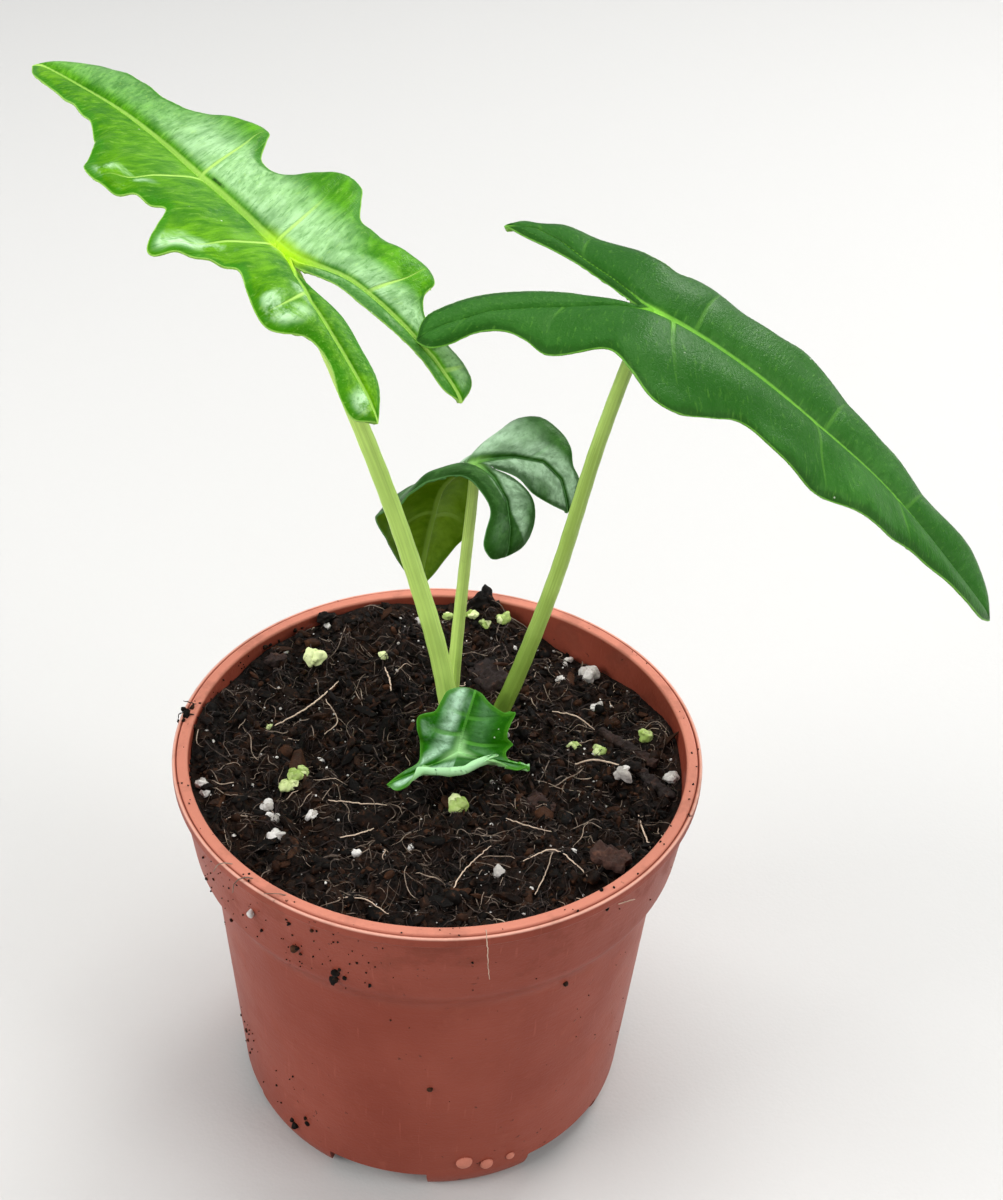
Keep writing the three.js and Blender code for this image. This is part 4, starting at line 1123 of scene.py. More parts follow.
class SoilSettings(bpy.types.PropertyGroup):
    crumbs: bpy.props.IntProperty(
        name="Crumbs", description="Number of loose crumbs on the soil", default=1800,
    )
    grains: bpy.props.IntProperty(
        name="Grains", description="Number of small grains between the crumbs", default=4200,
    )
    fibres: bpy.props.IntProperty(
        name="Fibres", description="Number of thin roots and fibres on the soil", default=620,
    )
    crumb_size: bpy.props.FloatProperty(
        name="Crumb size", description="Radius of a middling crumb", default=0.9 * MM,
        subtype="DISTANCE", unit="LENGTH",
    )
    dark: bpy.props.FloatVectorProperty(
        name="Dark soil", description="Colour of moist soil in the hollows", size=4,
        subtype="COLOR", default=linear(12, 9, 7),
    )
    light: bpy.props.FloatVectorProperty(
        name="Light soil", description="Colour of the paler crumbs", size=4, subtype="COLOR",
        default=linear(76, 47, 30),
    )


class PlantSettings(bpy.types.PropertyGroup):
    blade_thickness: bpy.props.FloatProperty(
        name="Blade thickness", description="Thickness of a blade between its ribs",
        default=0.42 * MM, subtype="DISTANCE", unit="LENGTH",
    )
    midrib_thickness: bpy.props.FloatProperty(
        name="Midrib thickness", description="Thickness of a blade at its midrib",
        default=1.7 * MM, subtype="DISTANCE", unit="LENGTH",
    )
    relief: bpy.props.FloatProperty(
        name="Relief", description="How strongly the blades are quilted and waved", default=1,
        min=0, max=2, subtype="FACTOR",
    )
    lobed_green: bpy.props.FloatVectorProperty(
        name="Lobed leaf", description="Main colour of the lobed leaf", size=4, subtype="COLOR",
        default=linear(100, 172, 22),
    )
    long_green: bpy.props.FloatVectorProperty(
        name="Long leaf", description="Main colour of the long leaf", size=4, subtype="COLOR",
        default=linear(60, 116, 42),
    )
    folded_green: bpy.props.FloatVectorProperty(
        name="Folded leaf", description="Main colour of the folded leaf", size=4,
        subtype="COLOR", default=linear(56, 108, 32),
    )
    young_green: bpy.props.FloatVectorProperty(
        name="Young leaf", description="Main colour of the young leaf", size=4, subtype="COLOR",
        default=linear(44, 124, 0),
    )
    stalk_green: bpy.props.FloatVectorProperty(
        name="Stalks", description="Main colour of the stalks", size=4, subtype="COLOR",
        default=linear(200, 234, 118),
    )


class StageSettings(bpy.types.PropertyGroup):
    floor: bpy.props.FloatVectorProperty(
        name="Floor", description="Colour of the floor", size=4, subtype="COLOR",
        default=linear(206, 205, 202),
    )
    sky: bpy.props.FloatProperty(
        name="Sky", description="Strength of the light from all round", default=0.44,
    )
    top_light: bpy.props.FloatProperty(
        name="Top light", description="Power of the broad light over the plant", default=12.5,
    )
    side_light: bpy.props.FloatProperty(
        name="Side light", description="Power of the soft light at the left", default=9.5,
    )


def soil_materials(settings):
    """The soil's materials, each from three shades, three amounts, its relief and its gloss."""
    shades = [tuple(settings.dark), tuple(settings.light)]
    labels = ("Dark", "Light", "Dust", "Dust amount", "Grain size", "Dullness")
    made = {}
    # One colour is the dust's, over the soil's own two; amounts are of dust, grain, dullness.
    for key, name, colours, amounts, bump, gloss in (
        ("bed", "Soil", [(76, 48, 32)], (0.3, 700, 0.62), 0.5, 0.12),
        ("crumb", "Soil crumbs", [(112, 72, 48)], (0.3, 700, 0.55), 0.3, 0.1),
        ("fibre", "Root fibres", [(34, 18, 11), (224, 198, 174), (232, 214, 196)],
         (0.2, 500, 0.5), 0.1, 0.3),
        ("perlite", "Perlite", [(150, 142, 134), (236, 232, 226), (120, 98, 78)],
         (0.4, 900, 0.8), 0.3, 0.5),
        ("prill", "Green pellets", [(134, 166, 54), (234, 244, 178), (92, 96, 34)],
         (0.8, 620, 0.5), 0.3, 0.5),
        ("bark", "Bark", [(30, 16, 11), (88, 52, 38), (120, 80, 60)], (0.3, 420, 0.8), 0.5, 0.5),
    ):
        colours = [linear(*shade) for shade in colours]
        if len(colours) == 1:
            colours = shades + colours
        inputs = dict(zip(labels, (*colours, *amounts)))
        made[key] = new_material(name, earth_surface, inputs, bump, gloss)
    return made


class PLANT_OT_pot(bpy.types.Operator):
    """Makes the nursery pot with its lip, collar, notched foot, drain holes and pips"""
    bl_idname = "plant.pot"
    bl_label = "Nursery Pot"

    def notch_block(self, turn):
        """A curved block inside the wall that a notch is cut from."""
        block = added(
            bpy.ops.mesh.primitive_circle_add, vertices=len(NOTCH_BLOCK), radius=1,
            fill_type="NGON",
        )
        half = math.radians(NOTCH_BLOCK_ANGLE / 2)
        cos, sin = math.cos(turn - half), math.sin(turn - half)
        set_points(block, np.array([[r * cos, r * sin, z] for r, z in NOTCH_BLOCK]) * MM)
        object_mode("EDIT")
        select_mesh()
        spin_round(14, 2 * half)
        face_outward()
        return block

    def pip(self, degrees, height, radius):
        """A flat round pip that stands out of the wall."""
        turn = math.radians(degrees)
        far = PIP_WALL_RADIUS * MM
        return added(
            bpy.ops.mesh.primitive_uv_sphere_add, segments=28, ring_count=14, radius=1,
            location=(far * math.cos(turn), far * math.sin(turn), height * MM),
            rotation=(0, 0, turn), scale=(PIP_FLATNESS * radius * MM, radius * MM, radius * MM),
        )

    def mark_pips(self, pot):
        """Tells the material where the pips are, which it paints paler."""
        points = get_points(pot) / MM
        raised = np.zeros(len(points))
        out = np.hypot(points[:, 0], points[:, 1]) > wall_radius(points[:, 2]) + 0.12
        for degrees, height, radius in PIPS:
            turn, far = math.radians(degrees), wall_radius(height)
            middle = np.array([far * math.cos(turn), far * math.sin(turn), height])
            away = np.linalg.norm(points - middle, axis=1)
            raised = np.maximum(raised, out & (away < radius + 0.4))
        set_values(pot, "pip", raised)

    def execute(self, context):
        settings = context.scene.plant_pot
        outline = rounded(POT_SECTION)
        outline[:, 0] *= settings.rim_radius / RIM_RADIUS
        outline[:, 1] *= settings.height / POT_HEIGHT
        pot = spun("nursery_pot", outline, settings.steps)
        covers, notches, holes = [], [], []
        for i in range(NOTCH_COUNT):
            turn = math.radians(NOTCH_FIRST_ANGLE + 360 * i / NOTCH_COUNT)
            ahead = Vector((math.cos(turn), math.sin(turn), 0))
            covers.append(self.notch_block(turn))
            notches.append(added(
                bpy.ops.mesh.primitive_cube_add, size=1, location=ahead * FOOT_RADIUS * MM,
                rotation=(0, 0, turn),
                scale=(NOTCH_DEPTH * MM, NOTCH_WIDTH * MM, 2 * CHANNEL_HEIGHT * MM),
            ))
            holes.append(added(
                bpy.ops.mesh.primitive_cylinder_add, vertices=40,
                radius=DRAIN_HOLE_RADIUS * MM, depth=DRAIN_CUTTER_HEIGHT * MM,
                location=ahead * DRAIN_HOLE_FROM_MIDDLE * MM,
            ))
        covers += [self.pip(*row) for row in PIPS]
        for name, parts, operation in (
            ("covers", covers, "UNION"), ("notches", notches, "DIFFERENCE"),
            ("holes", holes, "DIFFERENCE"),
        ):
            tool = join(name, parts)
            bpy.ops.object.transform_apply(location=True, rotation=True, scale=True)
            modify(pot, "BOOLEAN", object=tool, operation=operation, solver="EXACT")
            bpy.data.objects.remove(tool)
        if len(pot.data.polygons) < FEWEST_POT_FACES:
            raise RuntimeError("the pot lost its wall")
        self.mark_pips(pot)
        plastic = new_material("Pot plastic", plastic_surface, {
            "Plastic": tuple(settings.plastic), "Rubbed": tuple(settings.rubbed),
            "Film amount": settings.film,
        }, 0.25, 0.12)
        place(smooth(pot, 32), "pot_plastic", [plastic], ["pot"])
        return {"FINISHED"}


class PLANT_OT_soil(bpy.types.Operator):
    """Makes the soil with its crumbs, fibres, pellets and pieces of bark"""
    bl_idname = "plant.soil"
    bl_label = "Potting Soil"

    def bed(self):
        """The soil's upper surface: a square grid pressed into a disc, and roughened."""
        share = np.linspace(-1, 1, BED_ROWS)
        a, b = np.meshgrid(share, share, indexing="ij")
        x = SOIL_RADIUS * a * np.sqrt(1 - b * b / 2)
        y = SOIL_RADIUS * b * np.sqrt(1 - a * a / 2)
        points = np.stack([x, y, soil_height(x, y)], axis=-1) * MM
        near = np.clip((SOIL_RADIUS - np.hypot(x, y)) / 2, 0.25, 1)
        bed = shaped_grid("potting_soil", points, values={"tone": 0 * x + 0.3})
        weigh(bed, "surface", near.T.ravel())
        # Coarse clods, cracks between them and fine grain, in metres.
        for kind, size, strength, extra in (
            ("CLOUDS", 0.011, 0.0042, {"noise_depth": 3}),
            ("VORONOI", 0.0042, -0.0026, {"distance_metric": "DISTANCE"}),
            ("CLOUDS", 0.0016, 0.0015, {"noise_depth": 2}),
        ):
            roughen(bed, kind, size, strength, extra, direction="Z", vertex_group="surface")
        return bed

    def close(self, bed):
        """Takes the soil's border down the pot's wall and closes it underneath."""
        pick(bed)
        object_mode("EDIT")
        bpy.ops.mesh.select_mode(type="EDGE")
        select_mesh("DESELECT")
        bpy.ops.mesh.select_non_manifold()
        bpy.ops.mesh.select_mode(type="VERT")
        before = SOIL_RADIUS
        for radius, height in SOIL_SIDES:
            bpy.ops.mesh.extrude_region_move()
            object_mode()
            points = get_points(bed)
            chosen = np.zeros(len(points), bool)
            bed.data.vertices.foreach_get("select", chosen)
            points[chosen, :2] *= radius / before
            points[chosen, 2] = height * MM
            set_points(bed, points)
            before = radius
            object_mode("EDIT")
        bpy.ops.mesh.edge_face_add()
        face_outward()

    def lumps(self, name, spots, sizes, faces, random, tones, stretch=(1.1, 1, 0.8), rough=0.16):
        """Lumps at the given places, each with its own shape, turn and tone."""
        count = len(spots)
        piece = added(
            bpy.ops.mesh.primitive_ico_sphere_add, name, subdivisions=faces, radius=1,
        )
        points = copies(piece, count)
        for k in range(4 if faces < 4 else 8):
            way = unit(random.normal(size=(count, 1, 3)))
            wave = (2.2 + k) * np.sum(points * way, axis=2)
            wave = np.sin(wave + random.uniform(0, 6, (count, 1)))
            points = points * (1 + rough * wave / (1 + 0.25 * k))[..., None]
        points = points * np.array(stretch) * random.uniform(0.7, 1.3, (count, 1, 3))
        turns = random.uniform(0, 6.28, (count, 3))
        turns[:, :2] = random.normal(0, 0.45, (count, 2))
        points = turned(points * sizes[:, None, None], turns)
        set_points(piece, (points + spots[:, None]) * MM)
        set_values(piece, "tone", np.repeat(tones, points.shape[1]))
        return smooth(piece, 60 if faces > 1 else 25)

    def strewn(self, count, random, find, lift):
        """Places all over the soil, a little above its surface."""
        angle = random.uniform(0, WHOLE_TURN, count)
        far = (SOIL_RADIUS - 1.6) * np.sqrt(random.uniform(0, 1, count))
        x, y, _ = around(angle, far, 0).T
        return np.stack([x, y, find(x, y) + lift], axis=1)

    def fibres(self, name, count, lengths, radii, random, find, tones, steps, sides, lift):
        """Thin roots and fibres that lie over the crumbs in loose bends."""
        share = np.linspace(0, 1, steps)
        ring = np.linspace(0, WHOLE_TURN, sides + 1)[:, None]
        piece = shaped_grid(name, np.zeros((steps + 2, sides + 1, 3)))
        points = copies(piece, count)
        length = lengths[0] + (lengths[1] - lengths[0]) * random.beta(1.2, 2.8, count)
        thin = random.uniform(*radii, count)
        start = self.strewn(count, random, lambda x, y: 0 * x, 0)
        # Each one's own bends, kept inside the pot and drawn softly over the crumbs.
        heading = random.uniform(0, WHOLE_TURN, count)[:, None]
        curl = random.normal(0, 1.2, (count, 1))
        wiggle = random.normal(0, 0.45, (count, 1))
        turn = heading + curl * share + wiggle * np.sin(9 * share + 5 * curl)
        step = (length / (steps - 1))[:, None]
        px = start[:, :1] + np.cumsum(step * np.cos(turn), axis=1)
        py = start[:, 1:2] + np.cumsum(step * np.sin(turn), axis=1)
        inside = np.minimum(1, (SOIL_RADIUS - 1) / np.maximum(np.hypot(px, py), 1e-6))
        px, py = px * inside, py * inside
        soft = find(px, py).reshape(count, steps)
        for _ in range(3):
            soft[:, 1:-1] = np.maximum(soft[:, 1:-1], (soft[:, :-2] + soft[:, 2:]) / 2)
        rise = random.beta(1.1, 3, count)[:, None] * lift * np.sin(math.pi * share)
        tilt = np.maximum(random.normal(-0.3, 0.35, (count, 1)), -0.1) * length[:, None] * share
        path = np.stack([px, py, soft + 0.35 + rise + tilt * 0.5], axis=-1)
        # The tubes round their paths, thin at both ends.
        ahead = unit(np.gradient(path, axis=1))
        out = unit(np.cross(ahead, np.array([0.0, 0.0, 1.0])))
        up = np.cross(ahead, out)
        taper = 0.3 + 0.7 * np.sin(math.pi * (0.1 + 0.84 * share)) ** 0.6
        reach = (thin[:, None] * taper)[:, :, None, None]
        cross = np.cos(ring) * out[:, :, None] + np.sin(ring) * up[:, :, None]
        shape = path[:, :, None] + reach * cross
        tips = [path[:, k:k + 1, None].repeat(sides + 1, 2) for k in (0, steps - 1)]
        shape = np.concatenate([tips[0], shape, tips[1]], axis=1)
        shape = shape.transpose(0, 2, 1, 3).reshape(count, -1, 3)
        set_points(piece, shape * MM)
        set_values(piece, "tone", np.repeat(tones, points.shape[1]))
        merge_close(piece, 1e-7)
        return smooth(piece, 80)

    def strands(self, name, paths, radii, tones, random):
        """Single roots along their own paths."""
        pieces = []
        for path, radius, tone in zip(paths, radii, tones):
            line, _ = curve_through(path, 0.7)
            line = line + random.normal(0, 0.06, line.shape)
            run = np.linspace(0, 1, len(line))
            thick = radius * (0.35 + 0.65 * np.sin(math.pi * (0.12 + 0.8 * run)) ** 0.7)
            thick = thick * random.uniform(0.85, 1.15, len(line))
            values = {"tone": np.full(len(line), tone)}
            pieces.append(tube("strand", line * MM, thick * MM, 6, None, values))
        return smooth(join(name, pieces), 70)

    def pellets(self, name, table, find, random, rough):
        """The larger pellets, each of three knobbly lumps at its own place, or of one."""
        spots, sizes, tones = [], [], []
        for x, y, radius, long in table:
            z = float(find([x], [y])[0]) + 0.5 * radius
            way = random.uniform(0, 6.28)
            large = radius > 1.1
            off = 0.34 * radius if large else 0
            for k in range(3 if large else 1):
                at = way + 2.1 * k
                high = z + 0.2 * off * (k - 1)
                spots.append([x + off * long * math.cos(at), y + off * math.sin(at), high])
                sizes.append(radius * random.uniform(0.62, 0.8) if large else radius)
                tones.append(random.uniform(0.3, 1.1))
        spots, sizes, tones = (np.array(each, float) for each in (spots, sizes, tones))
        return self.lumps(name, spots, sizes, 4, random, tones, (1.05, 1, 0.9), rough)

    def on_wall(self, random):
        """Crumbs of soil that stick to the pot's wall, inside and outside, and to its rim."""
        radii, heights, _ = np.array(POT_SECTION[6:13], float).T
        spots, sizes = [], []
        for count, angles, (low, high), size in WALL_CRUMBS:
            angle = np.radians(random.uniform(*angles, count))
            level = low + (high - low) * random.uniform(0, 1, count) ** 0.8
            spots.append(around(angle, np.interp(level, heights, radii) + 0.08, level))
            sizes.append(sizes_about(random, size, 0.4, count))
        count = LIP_CRUMBS
        angle = np.radians(random.uniform(150, 400, count))
        spots.append(around(angle, random.uniform(56.9, 59.4, count), POT_HEIGHT + 0.05))
        sizes.append(sizes_about(random, 0.16, 0.4, count))
        count = INNER_CRUMBS
        angle = np.radians(random.uniform(118, 205, count))
        level = random.uniform(SOIL_LEVEL, 99, count)
        spots.append(around(angle, np.interp(level, (78.2, 99.3), (55, 56.4)) - 0.08, level))
        sizes.append(sizes_about(random, 0.24, 0.5, count))
        angle, level, size = np.array(WALL_CLODS).T
        spots.append(around(np.radians(angle), np.interp(level, heights, radii) + 0.1, level))
        sizes.append(size)
        spots, sizes = np.vstack(spots), np.concatenate(sizes)
        tones = random.beta(1.2, 3, len(spots))
        return self.lumps("wall_crumbs", spots, sizes, 2, random, tones, (1, 1, 1))

    def bark(self, find, random):
        """Flat chips of bark with broken edges."""
        chips = []
        for x, y, length, width, degrees in BARK:
            chip = added(bpy.ops.mesh.primitive_cube_add, size=1)
            chip.scale = (length * MM, width * MM, BARK_THICKNESS * MM)
            bpy.ops.object.transform_apply(location=False, rotation=False, scale=True)
            modify(chip, "BEVEL", width=0.0005, segments=2)
            modify(chip, "REMESH", mode="VOXEL", voxel_size=0.0004)
            # Its ends bend up and are narrower than its middle.
            points = get_points(chip)
            points[:, 2] += 0.12 * length * MM * (points[:, 0] / (length * MM)) ** 2
            narrow = 0.35 * (points[:, 0] / (0.5 * length * MM)) ** 2
            points[:, 1] *= 1 - narrow * random.uniform(0.4, 1)
            set_points(chip, points)
            roughen(chip, "CLOUDS", 0.0016, 0.0026, {"noise_depth": 4})
            turn = (0.12 * random.normal(), 0.1 * random.normal(), math.radians(degrees))
            spot = Vector((x, y, float(find([x], [y])[0]) + 0.2)) * MM
            turn = Euler(turn).to_matrix().to_4x4()
            chip.data.transform(Matrix.Translation(spot) @ turn)
            set_values(chip, "tone", random.uniform(0.1, 0.6))
            chips.append(chip)
        return smooth(join("bark_chips", chips), 50)

    def execute(self, context):
        settings = context.scene.plant_soil
        random = np.random.default_rng(SEED)
        shades = soil_materials(settings)

        def keep(piece, kind, replaces=()):
            place(piece, "potting_soil", [shades[kind]], replaces)

        bed = self.bed()
        find = surface_finder(bed)
        self.close(bed)
        keep(smooth(bed, 70), "bed", ["soil"])
        size, flakes = settings.crumb_size / MM, settings.crumbs
        crumbs = 2 * (flakes // 3)
        for name, count, middle, spread, faces, tones, stretch, lift in (
            ("soil_crumbs", crumbs, 0.75 * size, 0.4, 2, (1.1, 3.4), (1.25, 1, 0.8), 0.25),
            ("soil_flakes", flakes, 0.62 * size, 0.4, 1, (0.9, 2.6), (2.5, 0.9, 0.5), 0.35),
            ("soil_grains", settings.grains, 0.3 * size, 0.3, 1, (0.8, 2.6), (1.3, 1, 0.8), 0.15),
        ):
            radii = sizes_about(random, middle, spread, count)
            spots = self.strewn(count, random, find, lift * radii)
            tones = random.beta(*tones, count)
            keep(self.lumps(name, spots, radii, faces, random, tones, stretch), "crumb")
        *spots, radii = np.array(CLODS, float).T
        tones = np.full(len(radii), 0.15)
        clods = self.lumps(
            "soil_clods", np.stack(spots, axis=1), radii, 4, random, tones, (1.2, 0.8, 1), 0.14,
        )
        keep(clods, "crumb")
        radii = sizes_about(random, 0.17, 0.5, PERLITE_SPECKS)
        spots = self.strewn(PERLITE_SPECKS, random, find, 0.5)
        tones = random.uniform(0.3, 1, PERLITE_SPECKS)
        keep(self.lumps("perlite_specks", spots, radii, 1, random, tones), "perlite")
        # Many short dark fibres and fewer longer roots: lengths and radii from and to.
        count = settings.fibres
        for name, count, lengths, radii, tones, steps, sides, lift in (
            ("dark_fibres", 3 * count, (2.5, 13), (0.06, 0.14), (1, 5.2), 9, 3, 1.5),
            ("root_fibres", count // 2, (4, 18), (0.05, 0.13), (1.1, 2.7), 13, 5, 2.2),
        ):
            tones = random.beta(*tones, count)
            keep(self.fibres(
                name, count, lengths, radii, random, find, tones, steps, sides, lift,
            ), "fibre")
        paths, radii = [], []
        for spots, radius in ROOTS:
            x, y = np.array(spots, float).T
            lift = radius + 0.5 + 0.9 * np.sin(np.linspace(0.4, 3, len(spots)))
            paths.append(np.column_stack([x, y, find(x, y) + lift]))
            radii.append(0.64 * radius)
        tones = random.uniform(0.85, 1.4, len(paths))
        keep(self.strands("pale_roots", paths, radii, tones, random), "fibre")
        radii, tones, paths = zip(*RIM_STRANDS)
        keep(self.strands("rim_strands", paths, radii, tones, random), "fibre")
        keep(self.on_wall(random), "crumb")
        spot, radius, tone = (np.array([each]) for each in WALL_PERLITE)
        speck = self.lumps("wall_perlite", spot, radius, 3, random, tone, (1, 0.8, 1.1))
        keep(speck, "perlite")
        keep(self.pellets("perlite_pellets", WHITE_PELLETS, find, random, 0.1), "perlite")
        keep(self.pellets("green_pellets", GREEN_PELLETS, find, random, 0.09), "prill")
        keep(self.bark(find, random), "bark")
        return {"FINISHED"}


class PLANT_OT_rootstock(bpy.types.Operator):
    """Makes the short thick rootstock that the stalks grow from"""
    bl_idname = "plant.rootstock"
    bl_label = "Rootstock"

    def execute(self, context):
        section, _ = curve_through(CROWN_SECTION, 0.5)
        section[:, 0] = np.maximum(section[:, 0], 0)
        section[0, 0] = section[-1, 0] = 0
        # Rings that old leaves left.
        scars = 0.35 * np.abs(np.sin(0.55 * (section[:, 1] - CROWN_SECTION[0][1]))) ** 3
        section[1:-1, 0] += scars[1:-1]
        stock = spun("rootstock_top", section * MM, 72)
        points = get_points(stock)
        points[:, :2] += np.array(CROWN_PLACE) * MM
        set_points(stock, points)
        roughen(stock, "CLOUDS", 0.003, 0.0008, {"noise_depth": 3})
        set_values(stock, "tone", 0.4)
        skin = new_material("Rootstock skin", earth_surface, {
            "Dark": linear(58, 40, 24), "Light": linear(120, 96, 60), "Dust": linear(150, 126, 84),
        }, 0.4)
        place(smooth(stock, 60), "rootstock_skin", [skin], ["rootstock"])
        return {"FINISHED"}


class PLANT_OT_stalks(bpy.types.Operator):
    """Makes the four stalks, each from the rootstock to its blade"""
    bl_idname = "plant.stalks"
    bl_label = "Stalks"

    def stalk(self, name, order):
        """A stalk with ridges and knots, and with a wing at its foot."""
        leaf, stalk = LEAVES[name], STALKS[name]
        up = Sheet(leaf).frame(np.zeros(1), np.zeros(1))[2][0]
        top = np.array(leaf["joint"]) - 1.3 * up
        path, _ = curve_through([*stalk["path"], top], 0.8)
        low, high = stalk["radii"]
        radii = low + (high - low) * np.linspace(0, 1, len(path)) ** 0.8
        # Thinner just under the joint.
        left = np.linalg.norm(path - top, axis=1)
        radii = radii * (0.55 + 0.45 * np.clip(left / 2.4, 0, 1) ** 0.6)
        # Ridges lengthways, the wing, and knots.
        turn = np.linspace(0, WHOLE_TURN, STALK_SIDES, endpoint=False)
        near_foot = np.clip((WING_TOP - path[:, 2]) / WING_HEIGHT, 0, 1)[:, None]
        ridges = 1 + 0.02 * np.cos(5 * turn + order)[None] + 0.012 * np.cos(9 * turn + 2)[None]
        wing = bell((turn - 2.2 + math.pi) % WHOLE_TURN - math.pi, 0.34)
        ridges = ridges + 0.28 * near_foot ** 1.5 * wing[None]
        knots = 0.015 * np.sin(0.9 * path[:, 2] + order)[:, None]
        piece = tube(
            f"{name}_leaf_petiole", path * MM, radii * MM, STALK_SIDES, ridges + knots,
            {"height": path[:, 2]},
        )
        return smooth(piece, 60)

    def execute(self, context):
        usual = tuple(context.scene.plant_leaves.stalk_green)
        for order, name in enumerate(LEAF_NAMES):
            green, streak, foot = STALK_SHADES[order]
            skin = new_material(f"Stalk of the {name} leaf", stalk_surface, {
                "Green": linear(*green) if green else usual, "Streak": linear(*streak),
                "Foot amount": foot,
            }, 0.22, 0.3)
            place(self.stalk(name, order), "stalk_green", [skin], [f"{name}_leaf_stalk"])
        return {"FINISHED"}


class BladeHalf:
    """One half of a blade, in sheet coordinates: its rib line, outer edge and notch."""

    def __init__(self, half, side):
        self.side = side
        self.rear = np.array(half["rear_rib"], float)
        self.rib_feet = np.array(half["ribs"], float)
        self.last = float(half["edge"][-1][2])
        self.lines = {}
        for kind in ("edge", "notch"):
            table = np.array(half[kind], float)
            curve, places = curve_through(table[:, :2], 0.3)
            self.lines[kind] = curve, np.interp(places, np.arange(len(table)), table[:, 2])

    def line(self, kind, at):
        """Points of the rib line, the edge or the notch, for rows with these feet."""
        if kind == "rib":
            v = np.where(at >= 0, 0.0, np.interp(at, self.rear[:, 0], self.rear[:, 1]))
            return np.stack([at, v], axis=-1)
        curve, feet = self.lines[kind]
        return np.stack([np.interp(-at, -feet, curve[:, k]) for k in (0, 1)], axis=-1)


def even_feet(high, low, step, lines):
    """Feet from high to low whose rows are no more than a step apart on any of the lines."""
    fine = np.linspace(high, low, 2000)
    gaps = [np.linalg.norm(np.diff(half.line(kind, fine), axis=0), axis=1) for half, kind in lines]
    run = np.concatenate([[0], np.cumsum(np.max(gaps, axis=0))])
    count = math.ceil(run[-1] / step)
    return np.interp(np.linspace(0, run[-1], count + 1), run, fine)


def nearest(points, line):
    """Distance from each point to a line's nearest point, and the way there."""
    flat = points.reshape(-1, 2)
    found = np.empty(len(flat), int)
    for start in range(0, len(flat), 2000):
        part = flat[start:start + 2000]
        gaps = np.sum((part[:, None] - line[None]) ** 2, axis=2)
        found[start:start + 2000] = np.argmin(gaps, axis=1)
    way = (line[found] - flat).reshape(points.shape)
    return np.linalg.norm(way, axis=-1), way


def bowed(foot, end, share):
    """Points between a foot and an end, on a line that bows backwards as a side rib does."""
    row = end - foot
    bow = np.stack([-np.abs(row[..., 1]), 0 * row[..., 0]], axis=-1) * RIB_BOW
    return foot + share * row + bow * np.sin(math.pi * share)


